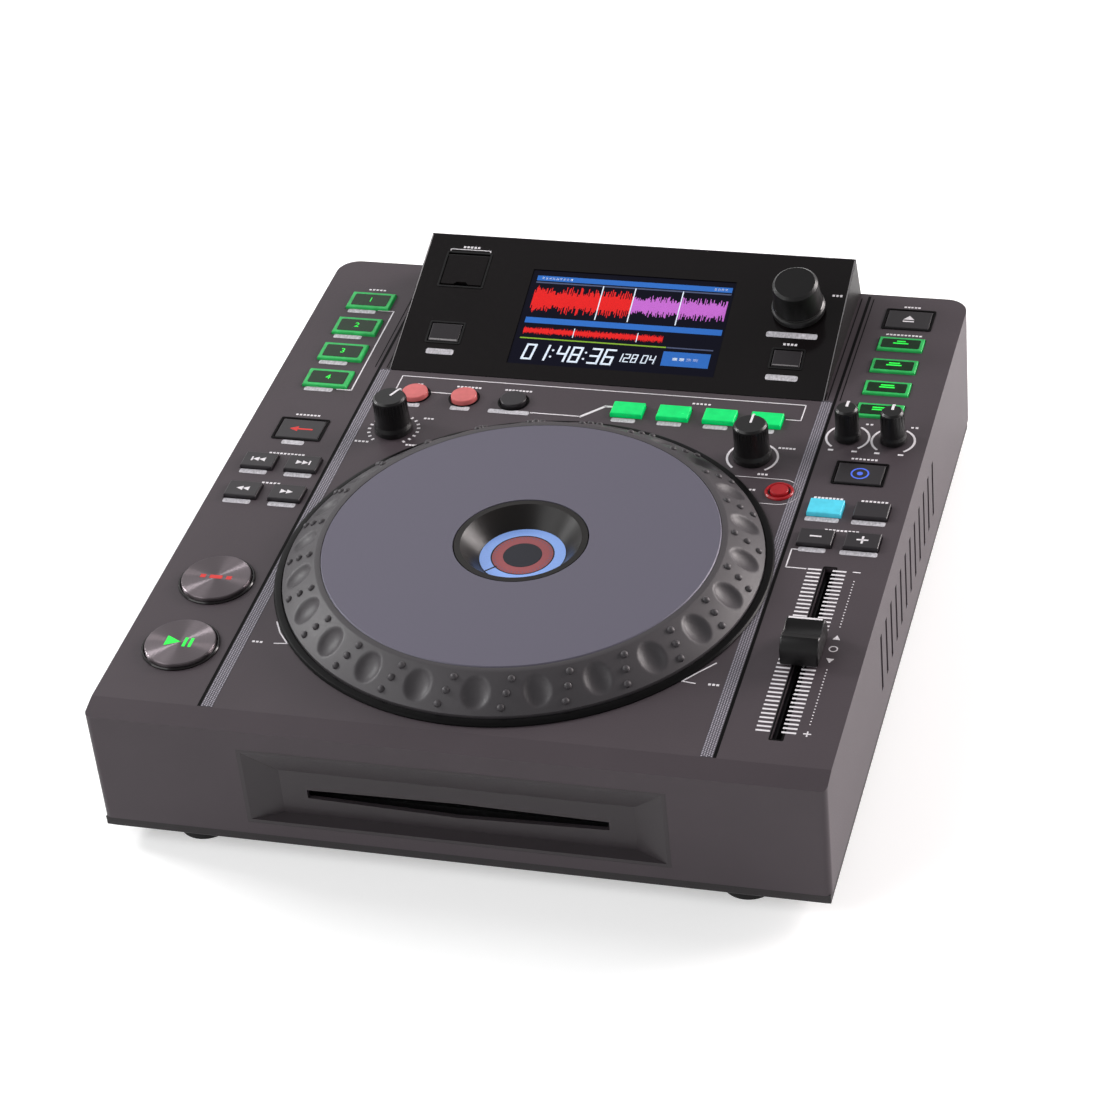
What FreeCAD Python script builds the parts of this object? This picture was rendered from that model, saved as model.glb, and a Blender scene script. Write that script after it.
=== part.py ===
import FreeCAD, Part
import math
import os
import Sketcher

# Tabletop disc player for mixing music: a slot drive under a sloping deck with a jog wheel,
# a raised display panel behind it, and a column of controls on each side.
# Millimetres. X to the right, Y to the back, Z up. The feet stand on Z = 0 and the origin is
# under the middle of the whole outline. Lengths "from the front" start at the front face.

doc = FreeCAD.newDocument("disc_player")
sheet = doc.addObject("Spreadsheet::Sheet", "Sizes")

SIZES = {
    # Casing
    "case_width": 305.0, "case_depth": 345.0, "case_wall": 2.5, "seam_height": 12.5,
    "foot_height": 6.0, "front_height": 65.7, "brow_depth": 10.8, "deck_front_height": 68.0,
    "deck_back_height": 72.5, "rear_corner": 10.0, "front_corner": 3.0,
    "foot_radius": 12.0, "foot_x": 115.5, "foot_front": 17.5, "foot_back": 325.0,
    "jack_reach": 7.5, "boss_radius": 4.5, "boss_height": 26.0, "pilot_radius": 1.6,
    "pilot_depth": 22.0, "screw_inset": 6.0, "screw_front": 16.0, "screw_middle": 172.0,
    "screw_back": 329.0, "screw_radius": 1.5, "screw_length": 18.0, "head_radius": 3.0,
    "head_height": 1.4, "cross_width": 0.7, "cross_depth": 0.6, "tray_gap": 0.4,
    "foot_draft": 0.8,
    # Raised display panel behind the jog wheel
    "pod_width": 203.2, "pod_front": 256.0, "pod_top": 336.6, "pod_front_height": 71.3,
    "pod_top_height": 96.2, "bezel_thickness": 2.0, "bezel_length": 83.6,
    "screen_width": 95.0, "screen_length": 55.0, "screen_x": 0.8, "screen_up": 37.4,
    "lcd_width": 105.6, "lcd_length": 67.0, "lcd_thickness": 5.0,
    # Jog wheel, radii and heights over the deck
    "jog_from_front": 119.8, "plate_radius": 84.0, "plate_top": 13.5, "plate_under": 11.3,
    "plate_hole": 28.7, "rim_radius": 101.5, "rim_shoulder": 86.4, "rim_lip": 13.2,
    "rim_gap": 0.6, "rim_edge": 2.6, "web_under": 3.0, "web_top": 5.5,
    "hub_radius": 35.0, "hub_bore": 31.0, "hub_under": 8.5,
    "post_radius": 30.93, "post_ring": 28.2, "post_top": 13.4, "dish_radius": 18.5,
    "dish_floor": 5.5, "cup_radius": 46.0, "cup_wall": 3.0, "cup_depth": 12.0,
    "well_radius": 38.0, "plate_slack": 0.2, "plate_seat": 3.0, "plate_bevel": 0.4,
    "plate_lip": 0.6, "post_slope": 0.6, "post_drop": 0.2, "dish_edge": 2.6,
    # Disc slot and its recess in the front
    "slot_half": 63.0, "slot_end_low": 30.2, "slot_end_high": 34.4, "slot_mid_low": 28.2,
    "slot_mid_high": 35.6, "recess_half": 87.0, "recess_low": 20.2, "recess_high": 55.0,
    "recess_depth": 5.0, "recess_floor_half": 74.0, "recess_floor_low": 21.4,
    "recess_floor_high": 43.6, "recess_flange": 1.6, "recess_back": 2.0, "recess_slack": 0.1,
    # Slot drive
    "drive_half": 76.0, "drive_front": 12.0, "drive_length": 172.0, "drive_low": 18.0,
    "drive_height": 32.0, "drive_wall": 2.0, "disc_centre": 96.0, "spindle_radius": 7.4,
    "roller_radius": 3.5, "roller_half": 64.0, "roller_from_front": 26.0, "roller_height": 26.2,
    "pivot_radius": 2.0, "pulley_radius": 9.5, "pulley_low": 0.6, "pulley_high": 4.5,
    "neck_radius": 2.6, "table_radius": 15.0, "table_thickness": 2.0, "hub_height": 1.4,
    "hub_taper": 1.6, "hub_tip": 3.0, "drive_post_radius": 5.0, "drive_post_inset": 8.0,
    # Push buttons
    "button_gap": 0.4, "flange_reach": 0.8, "flange_thickness": 1.0, "flange_top": 2.7,
    "stem_radius": 1.5, "stem_length": 3.5, "button_edge": 0.5, "panel_flange_top": 5.3,
    "switch_side": 6.0, "switch_top": 8.4,
    "left_column": 127.2, "left_pair_outer": 137.4, "left_pair_inner": 117.1,
    "hot_cue_first": 310.0, "hot_cue_pitch": 21.9, "hot_cue_width": 21.2, "hot_cue_length": 13.2,
    "hot_cue_rise": 1.2, "reverse_from_front": 204.0, "framed_width": 20.4,
    "framed_length": 14.2, "framed_rise": 0.3, "track_from_front": 177.0,
    "search_from_front": 154.9, "pair_width": 14.7, "pair_length": 10.5, "pair_rise": 1.8,
    "cue_from_front": 91.3, "play_from_front": 47.0, "transport_radius": 14.9,
    "transport_rise": 2.2,
    "right_column": 127.6, "eject_from_front": 325.5, "source_first": 304.4,
    "source_pitch": 17.8, "source_width": 20.6, "source_length": 10.2, "source_rise": 0.9,
    "mode_from_front": 203.4, "tap_from_front": 176.3, "bend_from_front": 154.7,
    "right_pair_inner": 117.9, "right_pair_outer": 137.8,
    "loop_first": 83.5, "loop_pitch": 23.25, "loop_from_front": 237.6, "loop_radius": 5.9,
    "loop_rise": 2.2, "auto_first": 16.4, "auto_pitch": 21.0, "auto_from_front": 236.8,
    "auto_width": 14.3, "auto_length": 9.6, "auto_rise": 2.0,
    "slip_x": 95.8, "slip_from_front": 185.9, "slip_radius": 4.0, "slip_rise": 1.6,
    "shift_x": 80.6, "shift_up": 24.0, "shift_width": 14.4, "shift_length": 10.6,
    "back_x": 80.6, "back_up": 22.6, "back_width": 13.0, "back_length": 9.6,
    # Knobs
    "knob_x": 85.0, "filter_x": 79.0, "knob_from_front": 209.4, "knob_radius": 7.3,
    "knob_skirt": 8.6, "knob_height": 18.0, "knob_lift": 0.6, "shaft_radius": 3.0,
    "shaft_end": 9.0, "trim_inner": 117.3, "trim_outer": 137.4, "trim_from_front": 229.6,
    "trim_radius": 4.9, "trim_skirt": 5.9, "trim_height": 16.0,
    "browse_x": 81.0, "browse_up": 51.6, "browse_radius": 10.3, "browse_skirt": 12.2,
    "browse_height": 19.0, "browse_lift": 1.4, "browse_rim": 2.4, "browse_shoulder": 3.4,
    "browse_flare": 0.9, "browse_edge": 1.2, "browse_cover": 3.0, "knob_flare": 0.6,
    "knob_edge": 0.8,
    # Slide fader
    "fader_x": 127.7, "fader_from_front": 80.8, "fader_slot": 110.9, "fader_slot_width": 4.4,
    "fader_cap_width": 15.8, "fader_cap_length": 21.0, "fader_cap_height": 12.0,
    "fader_cap_lift": 0.8, "fader_blade": 6.0, "fader_blade_thickness": 1.2,
    "fader_track_length": 128.0, "fader_track_width": 13.0, "fader_track_height": 9.0,
    "fader_track_drop": 4.2, "cap_foot": 3.0, "cap_slope": 3.0, "cap_crest": 5.0,
    "cap_fall": 1.0, "cap_dip": 1.4, "cap_dip_half": 2.4, "groove_width": 2.4,
    "groove_depth": 6.0, "groove_over": 1.0, "ear_radius": 3.0, "ear_inset": 3.0,
    # Port behind the flap on the panel
    "flap_x": 80.6, "flap_up": 62.6, "flap_width": 19.6, "flap_length": 17.8,
    "flap_thickness": 1.6, "flap_pin": 0.8, "port_width": 13.2, "port_length": 5.8,
    "port_depth": 14.0, "port_shell": 0.6, "port_floor": 10.0, "flap_gap": 1.2,
    "notch_half": 3.6, "notch_floor_half": 2.2, "notch_depth": 1.4, "pin_slack": 0.08,
    "pin_reach": 1.0, "well_slack": 0.4, "port_back": 1.6, "port_extra": 0.8,
    "tongue_width": 11.2, "tongue_thickness": 1.9, "tongue_off": 1.2, "port_board": 26.0,
    # Rear
    "jack_height": 32.0, "jack_radius": 4.15, "jack_pitch": 18.0, "jack_first": 100.0,
    "inlet_x": 118.0, "inlet_width": 27.0, "inlet_height": 20.0, "inlet_depth": 20.0,
    "rocker_x": 84.0, "rocker_width": 13.0, "rocker_length": 19.0, "rocker_depth": 6.0,
    "rocker_rise": 0.9, "rocker_dip": 0.6, "rear_gap": 0.3, "rocker_gap": 0.4,
    "jack_inside": 12.0, "jack_collar": 1.6, "jack_bore": 1.7, "remote_radius": 4.0,
    "remote_bore": 1.8, "socket_inside": 18.0, "inlet_side": 1.5, "inlet_edge": 1.8,
    "inlet_back": 3.0, "pin_width": 2.0, "pin_height": 4.0, "pin_length": 16.0,
    "pin_pitch": 7.0, "pin_step": 2.0, "panel_shift": 14.0,
    "panel_half_height": 12.0, "board_thickness": 1.6, "board_drop": 10.4,
    # Vents in the side walls
    "vent_count": 12, "vent_first": 114.0, "vent_pitch": 11.4, "vent_width": 3.2,
    "vent_low": 26.0, "vent_height": 28.0,
}

row = 0
for alias, number in SIZES.items():
    row += 1
    sheet.set("A%d" % row, alias.replace("_", " "))
    sheet.set("B%d" % row, str(number))
    sheet.setAlias("B%d" % row, alias)
doc.recompute()


# A length that carries its number and the sheet formula it comes from.
class Length:
    def __init__(self, value, text):
        self.value = float(value)
        self.text = text

    def __add__(self, other):
        other = length(other)
        return Length(self.value + other.value, "(%s + %s)" % (self.text, other.text))

    def __radd__(self, other):
        return length(other) + self

    def __sub__(self, other):
        other = length(other)
        return Length(self.value - other.value, "(%s - %s)" % (self.text, other.text))

    def __rsub__(self, other):
        return length(other) - self

    def __mul__(self, factor):
        return Length(self.value * factor, "(%s * %r)" % (self.text, factor))

    def __rmul__(self, factor):
        return self * factor

    def __truediv__(self, factor):
        return Length(self.value / factor, "(%s / %r)" % (self.text, factor))

    def __neg__(self):
        return Length(-self.value, "(0 - %s)" % self.text)


def length(number):
    if isinstance(number, Length):
        return number
    return Length(number, repr(float(number)))


class Cells:
    def __getattr__(self, alias):
        return Length(SIZES[alias], "Sizes." + alias)


S = Cells()

# TINY is a hair's breadth for closing and comparing; REACH takes a cutting solid through a wall.
TINY = 0.05
REACH = 6.0
SKIRT_PART = 0.12
SHOULDER_PART = 0.22
parts = []


def bind(item, **sizes):
    for name, size in sizes.items():
        item.setExpression(name, length(size).text)


# Faces that carry controls: the deck and the display panel, each with its own slope.
centre_y = (SIZES["case_depth"] + SIZES["jack_reach"]) / 2
deck_run = SIZES["case_depth"] - SIZES["brow_depth"]
deck_rise = SIZES["deck_back_height"] - SIZES["deck_front_height"]
deck_angle = math.atan2(deck_rise, deck_run)
pod_run = SIZES["pod_top"] - SIZES["pod_front"]
pod_rise = SIZES["pod_top_height"] - SIZES["pod_front_height"]
pod_angle = math.atan2(pod_rise, pod_run)
SIDEWAYS = FreeCAD.Vector(1, 0, 0)


def vector(x, y, z):
    return FreeCAD.Vector(length(x).value, length(y).value, length(z).value)


def on_deck(x, from_front, up=0.0):
    slope = FreeCAD.Rotation(SIDEWAYS, math.degrees(deck_angle))
    from_front = length(from_front).value
    height = SIZES["deck_front_height"] + (from_front - SIZES["brow_depth"]) * math.tan(deck_angle)
    foot = FreeCAD.Vector(length(x).value, from_front - centre_y, height)
    return FreeCAD.Placement(foot + slope.multVec(vector(0, 0, up)), slope)


def on_panel(x, up_the_face, up=0.0):
    slope = FreeCAD.Rotation(SIDEWAYS, math.degrees(pod_angle))
    foot = FreeCAD.Vector(0, SIZES["pod_front"] - centre_y, SIZES["pod_front_height"])
    return FreeCAD.Placement(foot + slope.multVec(vector(x, up_the_face, up)), slope)


def at(x, from_front, height):
    return FreeCAD.Placement(vector(x, length(from_front).value - centre_y, height), FreeCAD.Rotation())


# Plain solids, centred on X and Y of the placement and standing on its Z.
def block(name, width, depth, height, placement):
    item = doc.addObject("Part::Box", name)
    bind(item, Length=width, Width=depth, Height=height)
    corner = vector(-length(width).value / 2, -length(depth).value / 2, 0)
    item.Placement = placement.multiply(FreeCAD.Placement(corner, FreeCAD.Rotation()))
    return item


def rod(name, radius, height, placement):
    item = doc.addObject("Part::Cylinder", name)
    bind(item, Radius=radius, Height=height)
    item.Placement = placement
    return item


def turned(placement, axis, degrees):
    return placement.multiply(FreeCAD.Placement(FreeCAD.Vector(), FreeCAD.Rotation(axis, degrees)))


def join(name, items):
    item = doc.addObject("Part::MultiFuse", name)
    item.Shapes = items
    return item


def group(name, items):
    item = doc.addObject("Part::Compound", name)
    item.Links = items
    return item


def cut(name, base, tools):
    item = doc.addObject("Part::Cut", name)
    item.Base = base
    item.Tool = tools if not isinstance(tools, list) else group(name + "_cuts", tools)
    return item


def keep(item, label):
    item.Label = label
    parts.append(item)
    return item


# Sketched bodies.
def new_body(name, placement=None):
    body = doc.addObject("PartDesign::Body", name)
    if placement is not None:
        body.Placement = placement
    return body


def new_sketch(body, name, plane, lift=0.0):
    sketch = body.newObject("Sketcher::SketchObject", name)
    origin_plane = [feature for feature in body.Origin.OriginFeatures if feature.Role == plane][0]
    sketch.AttachmentSupport = [(origin_plane, "")]
    sketch.MapMode = "FlatFace"
    sketch.AttachmentOffset = FreeCAD.Placement(vector(0, 0, lift), FreeCAD.Rotation())
    return sketch


def outline(sketch, corners):
    corners = [(length(x), length(y)) for x, y in corners]
    count = len(corners)
    for index in range(count):
        start = corners[index]
        end = corners[(index + 1) % count]
        line = Part.LineSegment(vector(start[0], start[1], 0), vector(end[0], end[1], 0))
        sketch.addGeometry(line, False)
    for index in range(count):
        sketch.addConstraint(Sketcher.Constraint("Coincident", index, 2, (index + 1) % count, 1))
    for index, (x, y) in enumerate(corners):
        across = sketch.addConstraint(Sketcher.Constraint("DistanceX", -1, 1, index, 1, x.value))
        sketch.setExpression("Constraints[%d]" % across, x.text)
        upward = sketch.addConstraint(Sketcher.Constraint("DistanceY", -1, 1, index, 1, y.value))
        sketch.setExpression("Constraints[%d]" % upward, y.text)


def circle(sketch, radius):
    radius = length(radius)
    sketch.addGeometry(Part.Circle(vector(0, 0, 0), vector(0, 0, 1), radius.value), False)
    sketch.addConstraint(Sketcher.Constraint("Coincident", 0, 3, -1, 1))
    ring = sketch.addConstraint(Sketcher.Constraint("Radius", 0, radius.value))
    sketch.setExpression("Constraints[%d]" % ring, radius.text)


def rectangle(width, depth):
    return [(-width / 2, -depth / 2), (width / 2, -depth / 2), (width / 2, depth / 2),
            (-width / 2, depth / 2)]


def pad(body, name, sketch, height, both_ways=False, downwards=False):
    feature = body.newObject("PartDesign::Pad", name)
    feature.Profile = sketch
    bind(feature, Length=height)
    if both_ways:
        feature.SideType = "Symmetric"
    feature.Reversed = downwards
    doc.recompute()
    return feature


def pocket(body, name, sketch, height):
    before = body.Shape.Volume
    feature = body.newObject("PartDesign::Pocket", name)
    feature.Profile = sketch
    bind(feature, Length=height)
    feature.SideType = "Symmetric"
    doc.recompute()
    if body.Shape.Volume > before - 1:
        raise SystemExit("%s removed nothing" % name)
    return feature


def spin(body, name, sketch):
    feature = body.newObject("PartDesign::Revolution", name)
    feature.Profile = sketch
    feature.ReferenceAxis = (sketch, ["V_Axis"])
    feature.Angle = 360.0
    doc.recompute()
    return feature


def edges_where(shape, wanted):
    return ["Edge%d" % (index + 1) for index, edge in enumerate(shape.Edges) if wanted(edge)]


def round_edges(body, name, wanted, radius):
    base = body.Tip
    feature = body.newObject("PartDesign::Fillet", name)
    feature.Base = (base, edges_where(base.Shape, wanted))
    bind(feature, Radius=radius)
    doc.recompute()
    return feature


def turned_body(name, profile, placement):
    body = new_body(name, placement)
    sketch = new_sketch(body, name + "_profile", "XZ_Plane")
    outline(sketch, profile)
    spin(body, name + "_turning", sketch)
    return body


# Push buttons: a cap through the face, a flange that holds it under the wall, and a stem that
# ends just over its switch.
openings = {"deck": [], "panel": []}
switches = {"deck": [], "panel": []}


def finish_button(body, rise, under, place):
    top = length(rise).value

    def on_top(candidate):
        return all(abs(vertex.Z - top) < TINY for vertex in candidate.Vertexes)

    round_edges(body, body.Name + "_soft_edge", on_top, S.button_edge)
    stem = new_sketch(body, body.Name + "_stem_outline", "XY_Plane", -under)
    circle(stem, S.stem_radius)
    pad(body, body.Name + "_stem", stem, S.stem_length, downwards=True)
    body.Placement = place
    keep(body, body.Name)


def square_button(name, face, x, along, width, depth, rise):
    kind = "deck" if face is on_deck else "panel"
    body = new_body(name)
    flange_top = S.flange_top if kind == "deck" else S.panel_flange_top
    under = flange_top + S.flange_thickness
    flange = new_sketch(body, name + "_flange_outline", "XY_Plane", -under)
    reach = S.flange_reach * 2
    outline(flange, rectangle(width + reach, depth + reach))
    pad(body, name + "_flange", flange, S.flange_thickness)
    cap = new_sketch(body, name + "_cap_outline", "XY_Plane", -under)
    outline(cap, rectangle(width, depth))
    pad(body, name + "_cap", cap, under + rise)
    finish_button(body, rise, under, face(x, along))
    switches[kind].append((x, along))
    gap = S.button_gap * 2
    hole = block(name + "_opening", width + gap, depth + gap, REACH * 2, face(x, along, -REACH))
    openings[kind].append(hole)


def round_button(name, x, along, radius, rise):
    body = new_body(name)
    under = S.flange_top + S.flange_thickness
    flange = new_sketch(body, name + "_flange_outline", "XY_Plane", -under)
    circle(flange, radius + S.flange_reach)
    pad(body, name + "_flange", flange, S.flange_thickness)
    cap = new_sketch(body, name + "_cap_outline", "XY_Plane", -under)
    circle(cap, radius)
    pad(body, name + "_cap", cap, under + rise)
    finish_button(body, rise, under, on_deck(x, along))
    switches["deck"].append((x, along))
    hole = rod(name + "_opening", radius + S.button_gap, REACH * 2, on_deck(x, along, -REACH))
    openings["deck"].append(hole)


def make_buttons():
    for index in range(4):
        square_button("hot_cue_button_%d" % (index + 1), on_deck, -S.left_column,
                      S.hot_cue_first - S.hot_cue_pitch * index, S.hot_cue_width,
                      S.hot_cue_length, S.hot_cue_rise)
    square_button("reverse_button", on_deck, -S.left_column, S.reverse_from_front,
                  S.framed_width, S.framed_length, S.framed_rise)
    for name, x, along in (("track_back_button", -S.left_pair_outer, S.track_from_front),
                           ("track_forward_button", -S.left_pair_inner, S.track_from_front),
                           ("search_back_button", -S.left_pair_outer, S.search_from_front),
                           ("search_forward_button", -S.left_pair_inner, S.search_from_front),
                           ("key_lock_button", S.right_pair_inner, S.tap_from_front),
                           ("tap_button", S.right_pair_outer, S.tap_from_front),
                           ("bend_down_button", S.right_pair_inner, S.bend_from_front),
                           ("bend_up_button", S.right_pair_outer, S.bend_from_front)):
        square_button(name, on_deck, x, along, S.pair_width, S.pair_length, S.pair_rise)
    round_button("cue_button", -S.left_column, S.cue_from_front, S.transport_radius,
                 S.transport_rise)
    round_button("play_button", -S.left_column, S.play_from_front, S.transport_radius,
                 S.transport_rise)
    square_button("eject_button", on_deck, S.right_column, S.eject_from_front,
                  S.framed_width, S.framed_length, S.framed_rise)
    for index in range(4):
        square_button("source_button_%d" % (index + 1), on_deck, S.right_column,
                      S.source_first - S.source_pitch * index, S.source_width,
                      S.source_length, S.source_rise)
    square_button("jog_mode_button", on_deck, S.right_column, S.mode_from_front,
                  S.framed_width, S.framed_length, S.framed_rise)
    for index, name in enumerate(("loop_in_button", "loop_out_button", "reloop_button")):
        round_button(name, S.loop_pitch * index - S.loop_first, S.loop_from_front,
                     S.loop_radius, S.loop_rise)
    for index in range(4):
        square_button("auto_loop_button_%d" % (index + 1), on_deck,
                      S.auto_first + S.auto_pitch * index, S.auto_from_front, S.auto_width,
                      S.auto_length, S.auto_rise)
    round_button("slip_button", S.slip_x, S.slip_from_front, S.slip_radius, S.slip_rise)
    square_button("shift_button", on_panel, -S.shift_x, S.shift_up, S.shift_width,
                  S.shift_length, S.framed_rise)
    square_button("back_button", on_panel, S.back_x, S.back_up, S.back_width,
                  S.back_length, S.framed_rise)


# Knobs: a tapered grip with a skirt, on a shaft that goes down through the face.
def knob(name, place, radius, skirt, height):
    body = new_body(name)
    sketch = new_sketch(body, name + "_profile", "XZ_Plane")
    lift = S.knob_lift
    outline(sketch, [(0, -S.shaft_end), (S.shaft_radius, -S.shaft_end), (S.shaft_radius, lift),
                     (skirt, lift), (skirt, lift + height * SKIRT_PART),
                     (radius + S.knob_flare, lift + height * SHOULDER_PART),
                     (radius, height - S.knob_edge), (radius - S.knob_edge, height),
                     (0, height)])
    spin(body, name + "_turning", sketch)
    body.Placement = place
    keep(body, name)
    openings["deck"].append(rod(name + "_opening", S.shaft_radius + S.button_gap, REACH * 2,
                                place.multiply(lifted(-REACH))))


def lifted(up):
    return FreeCAD.Placement(vector(0, 0, up), FreeCAD.Rotation())


def make_knobs():
    knob("touch_knob", on_deck(-S.knob_x, S.knob_from_front), S.knob_radius, S.knob_skirt,
         S.knob_height)
    knob("filter_knob", on_deck(S.filter_x, S.knob_from_front), S.knob_radius, S.knob_skirt,
         S.knob_height)
    knob("trim_knob_inner", on_deck(S.trim_inner, S.trim_from_front), S.trim_radius,
         S.trim_skirt, S.trim_height)
    knob("trim_knob_outer", on_deck(S.trim_outer, S.trim_from_front), S.trim_radius,
         S.trim_skirt, S.trim_height)
    # The browse knob turns on a shaft that also pushes down, so the two are separate pieces.
    place = on_panel(S.browse_x, S.browse_up)
    body = new_body("browse_knob")
    sketch = new_sketch(body, "browse_knob_profile", "XZ_Plane")
    bore = S.shaft_radius + TINY
    low = S.browse_lift
    ceiling = S.browse_height - S.browse_cover
    outline(sketch, [(bore, low), (S.browse_skirt, low), (S.browse_skirt, low + S.browse_rim),
                     (S.browse_radius + S.browse_flare, low + S.browse_shoulder),
                     (S.browse_radius, S.browse_height - S.browse_edge),
                     (S.browse_radius - S.browse_edge, S.browse_height), (0, S.browse_height),
                     (0, ceiling), (bore, ceiling)])
    spin(body, "browse_knob_turning", sketch)
    body.Placement = place
    keep(body, "browse_knob")
    shaft = rod("browse_shaft", S.shaft_radius, ceiling - TINY * 4 + S.shaft_end,
                on_panel(S.browse_x, S.browse_up, -S.shaft_end))
    keep(shaft, "browse_shaft")
    openings["panel"].append(rod("browse_opening", S.shaft_radius + S.button_gap, REACH * 2,
                                 on_panel(S.browse_x, S.browse_up, -REACH)))


# Slide fader: the cap rides over the deck on a flat blade that runs in the track below.
def make_fader():
    place = on_deck(S.fader_x, S.fader_from_front)
    body = new_body("fader_cap")
    sketch = new_sketch(body, "fader_cap_side", "YZ_Plane")
    half = S.fader_cap_length / 2
    low = S.fader_cap_lift
    high = S.fader_cap_height
    foot = low + S.cap_foot
    slope = half - S.cap_slope
    crest = half - S.cap_crest
    fall = high - S.cap_fall
    dip = high - S.cap_dip
    outline(sketch, [(-half, low), (half, low), (half, foot), (slope, fall), (crest, high),
                     (S.cap_dip_half, dip), (0, fall), (-S.cap_dip_half, dip),
                     (-crest, high), (-slope, fall), (-half, foot)])
    pad(body, "fader_cap_block", sketch, S.fader_cap_width, both_ways=True)
    blade = new_sketch(body, "fader_blade_outline", "XY_Plane", low)
    outline(blade, rectangle(S.fader_blade_thickness, S.fader_blade))
    blade_length = S.fader_track_drop + S.fader_cap_lift + S.groove_depth / 2
    pad(body, "fader_blade", blade, blade_length, downwards=True)
    body.Placement = place
    keep(body, "fader_cap")
    openings["deck"].append(block("fader_opening", S.fader_slot_width, S.fader_slot, REACH * 2,
                                  on_deck(S.fader_x, S.fader_from_front, -REACH)))
    low = -S.fader_track_drop - S.fader_track_height
    track = block("fader_track_block", S.fader_track_width, S.fader_track_length,
                  S.fader_track_height, on_deck(S.fader_x, S.fader_from_front, low))
    groove = block("fader_track_groove", S.groove_width, S.fader_slot,
                   S.groove_depth + S.groove_over,
                   on_deck(S.fader_x, S.fader_from_front, -S.fader_track_drop - S.groove_depth))
    shell = cut("fader_track_shell", track, groove)
    ears = []
    for side in (-1, 1):
        along = S.fader_from_front + side * (S.fader_track_length / 2 - S.ear_inset)
        ears.append(rod("fader_ear_%d" % side, S.ear_radius,
                        S.fader_track_drop - S.case_wall + TINY,
                        on_deck(S.fader_x, along, -S.fader_track_drop - TINY)))
    keep(join("fader_track", [shell] + ears), "fader_track")


# Jog wheel: the rubber rim carries a web and a hub that runs on the fixed post, and the
# metal plate lies on the rim. The post holds the round display in its dish.
def make_jog():
    place = on_deck(0, S.jog_from_front)
    keep(turned_body("jog_rim", [
        (S.hub_bore, -S.hub_under), (S.hub_radius, -S.hub_under), (S.hub_radius, S.web_under),
        (S.rim_shoulder, S.web_under), (S.rim_shoulder, S.rim_gap), (S.rim_radius, S.rim_gap),
        (S.rim_radius, S.rim_edge), (S.rim_shoulder, S.rim_lip),
        (S.plate_radius + S.plate_slack, S.rim_lip),
        (S.plate_radius + S.plate_slack, S.plate_under),
        (S.plate_radius - S.plate_seat, S.plate_under),
        (S.plate_radius - S.plate_seat, S.web_top),
        (S.hub_radius, S.web_top), (S.hub_radius, S.plate_under),
        (S.hub_bore, S.plate_under)], place), "jog_rim")
    keep(turned_body("jog_plate", [
        (S.plate_hole, S.plate_under + S.plate_lip), (S.hub_bore, S.plate_under),
        (S.plate_radius, S.plate_under), (S.plate_radius, S.plate_top - S.plate_bevel),
        (S.plate_radius - S.plate_bevel, S.plate_top), (S.plate_hole, S.plate_top)],
        place), "jog_plate")
    keep(turned_body("jog_display", [
        (0, -S.cup_depth), (S.cup_radius, -S.cup_depth), (S.cup_radius, -S.case_wall),
        (S.cup_radius - S.cup_wall, -S.case_wall),
        (S.cup_radius - S.cup_wall, S.cup_wall - S.cup_depth),
        (S.post_radius, S.cup_wall - S.cup_depth),
        (S.post_radius, S.plate_under - S.post_drop - S.post_slope),
        (S.post_ring, S.plate_under - S.post_drop), (S.post_ring, S.post_top),
        (S.post_ring - S.dish_edge, S.post_top), (S.dish_radius, S.dish_floor),
        (0, S.dish_floor)],
        place), "jog_display")
    openings["deck"].append(rod("jog_opening", S.well_radius, REACH * 2,
                                on_deck(0, S.jog_from_front, -REACH)))


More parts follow.
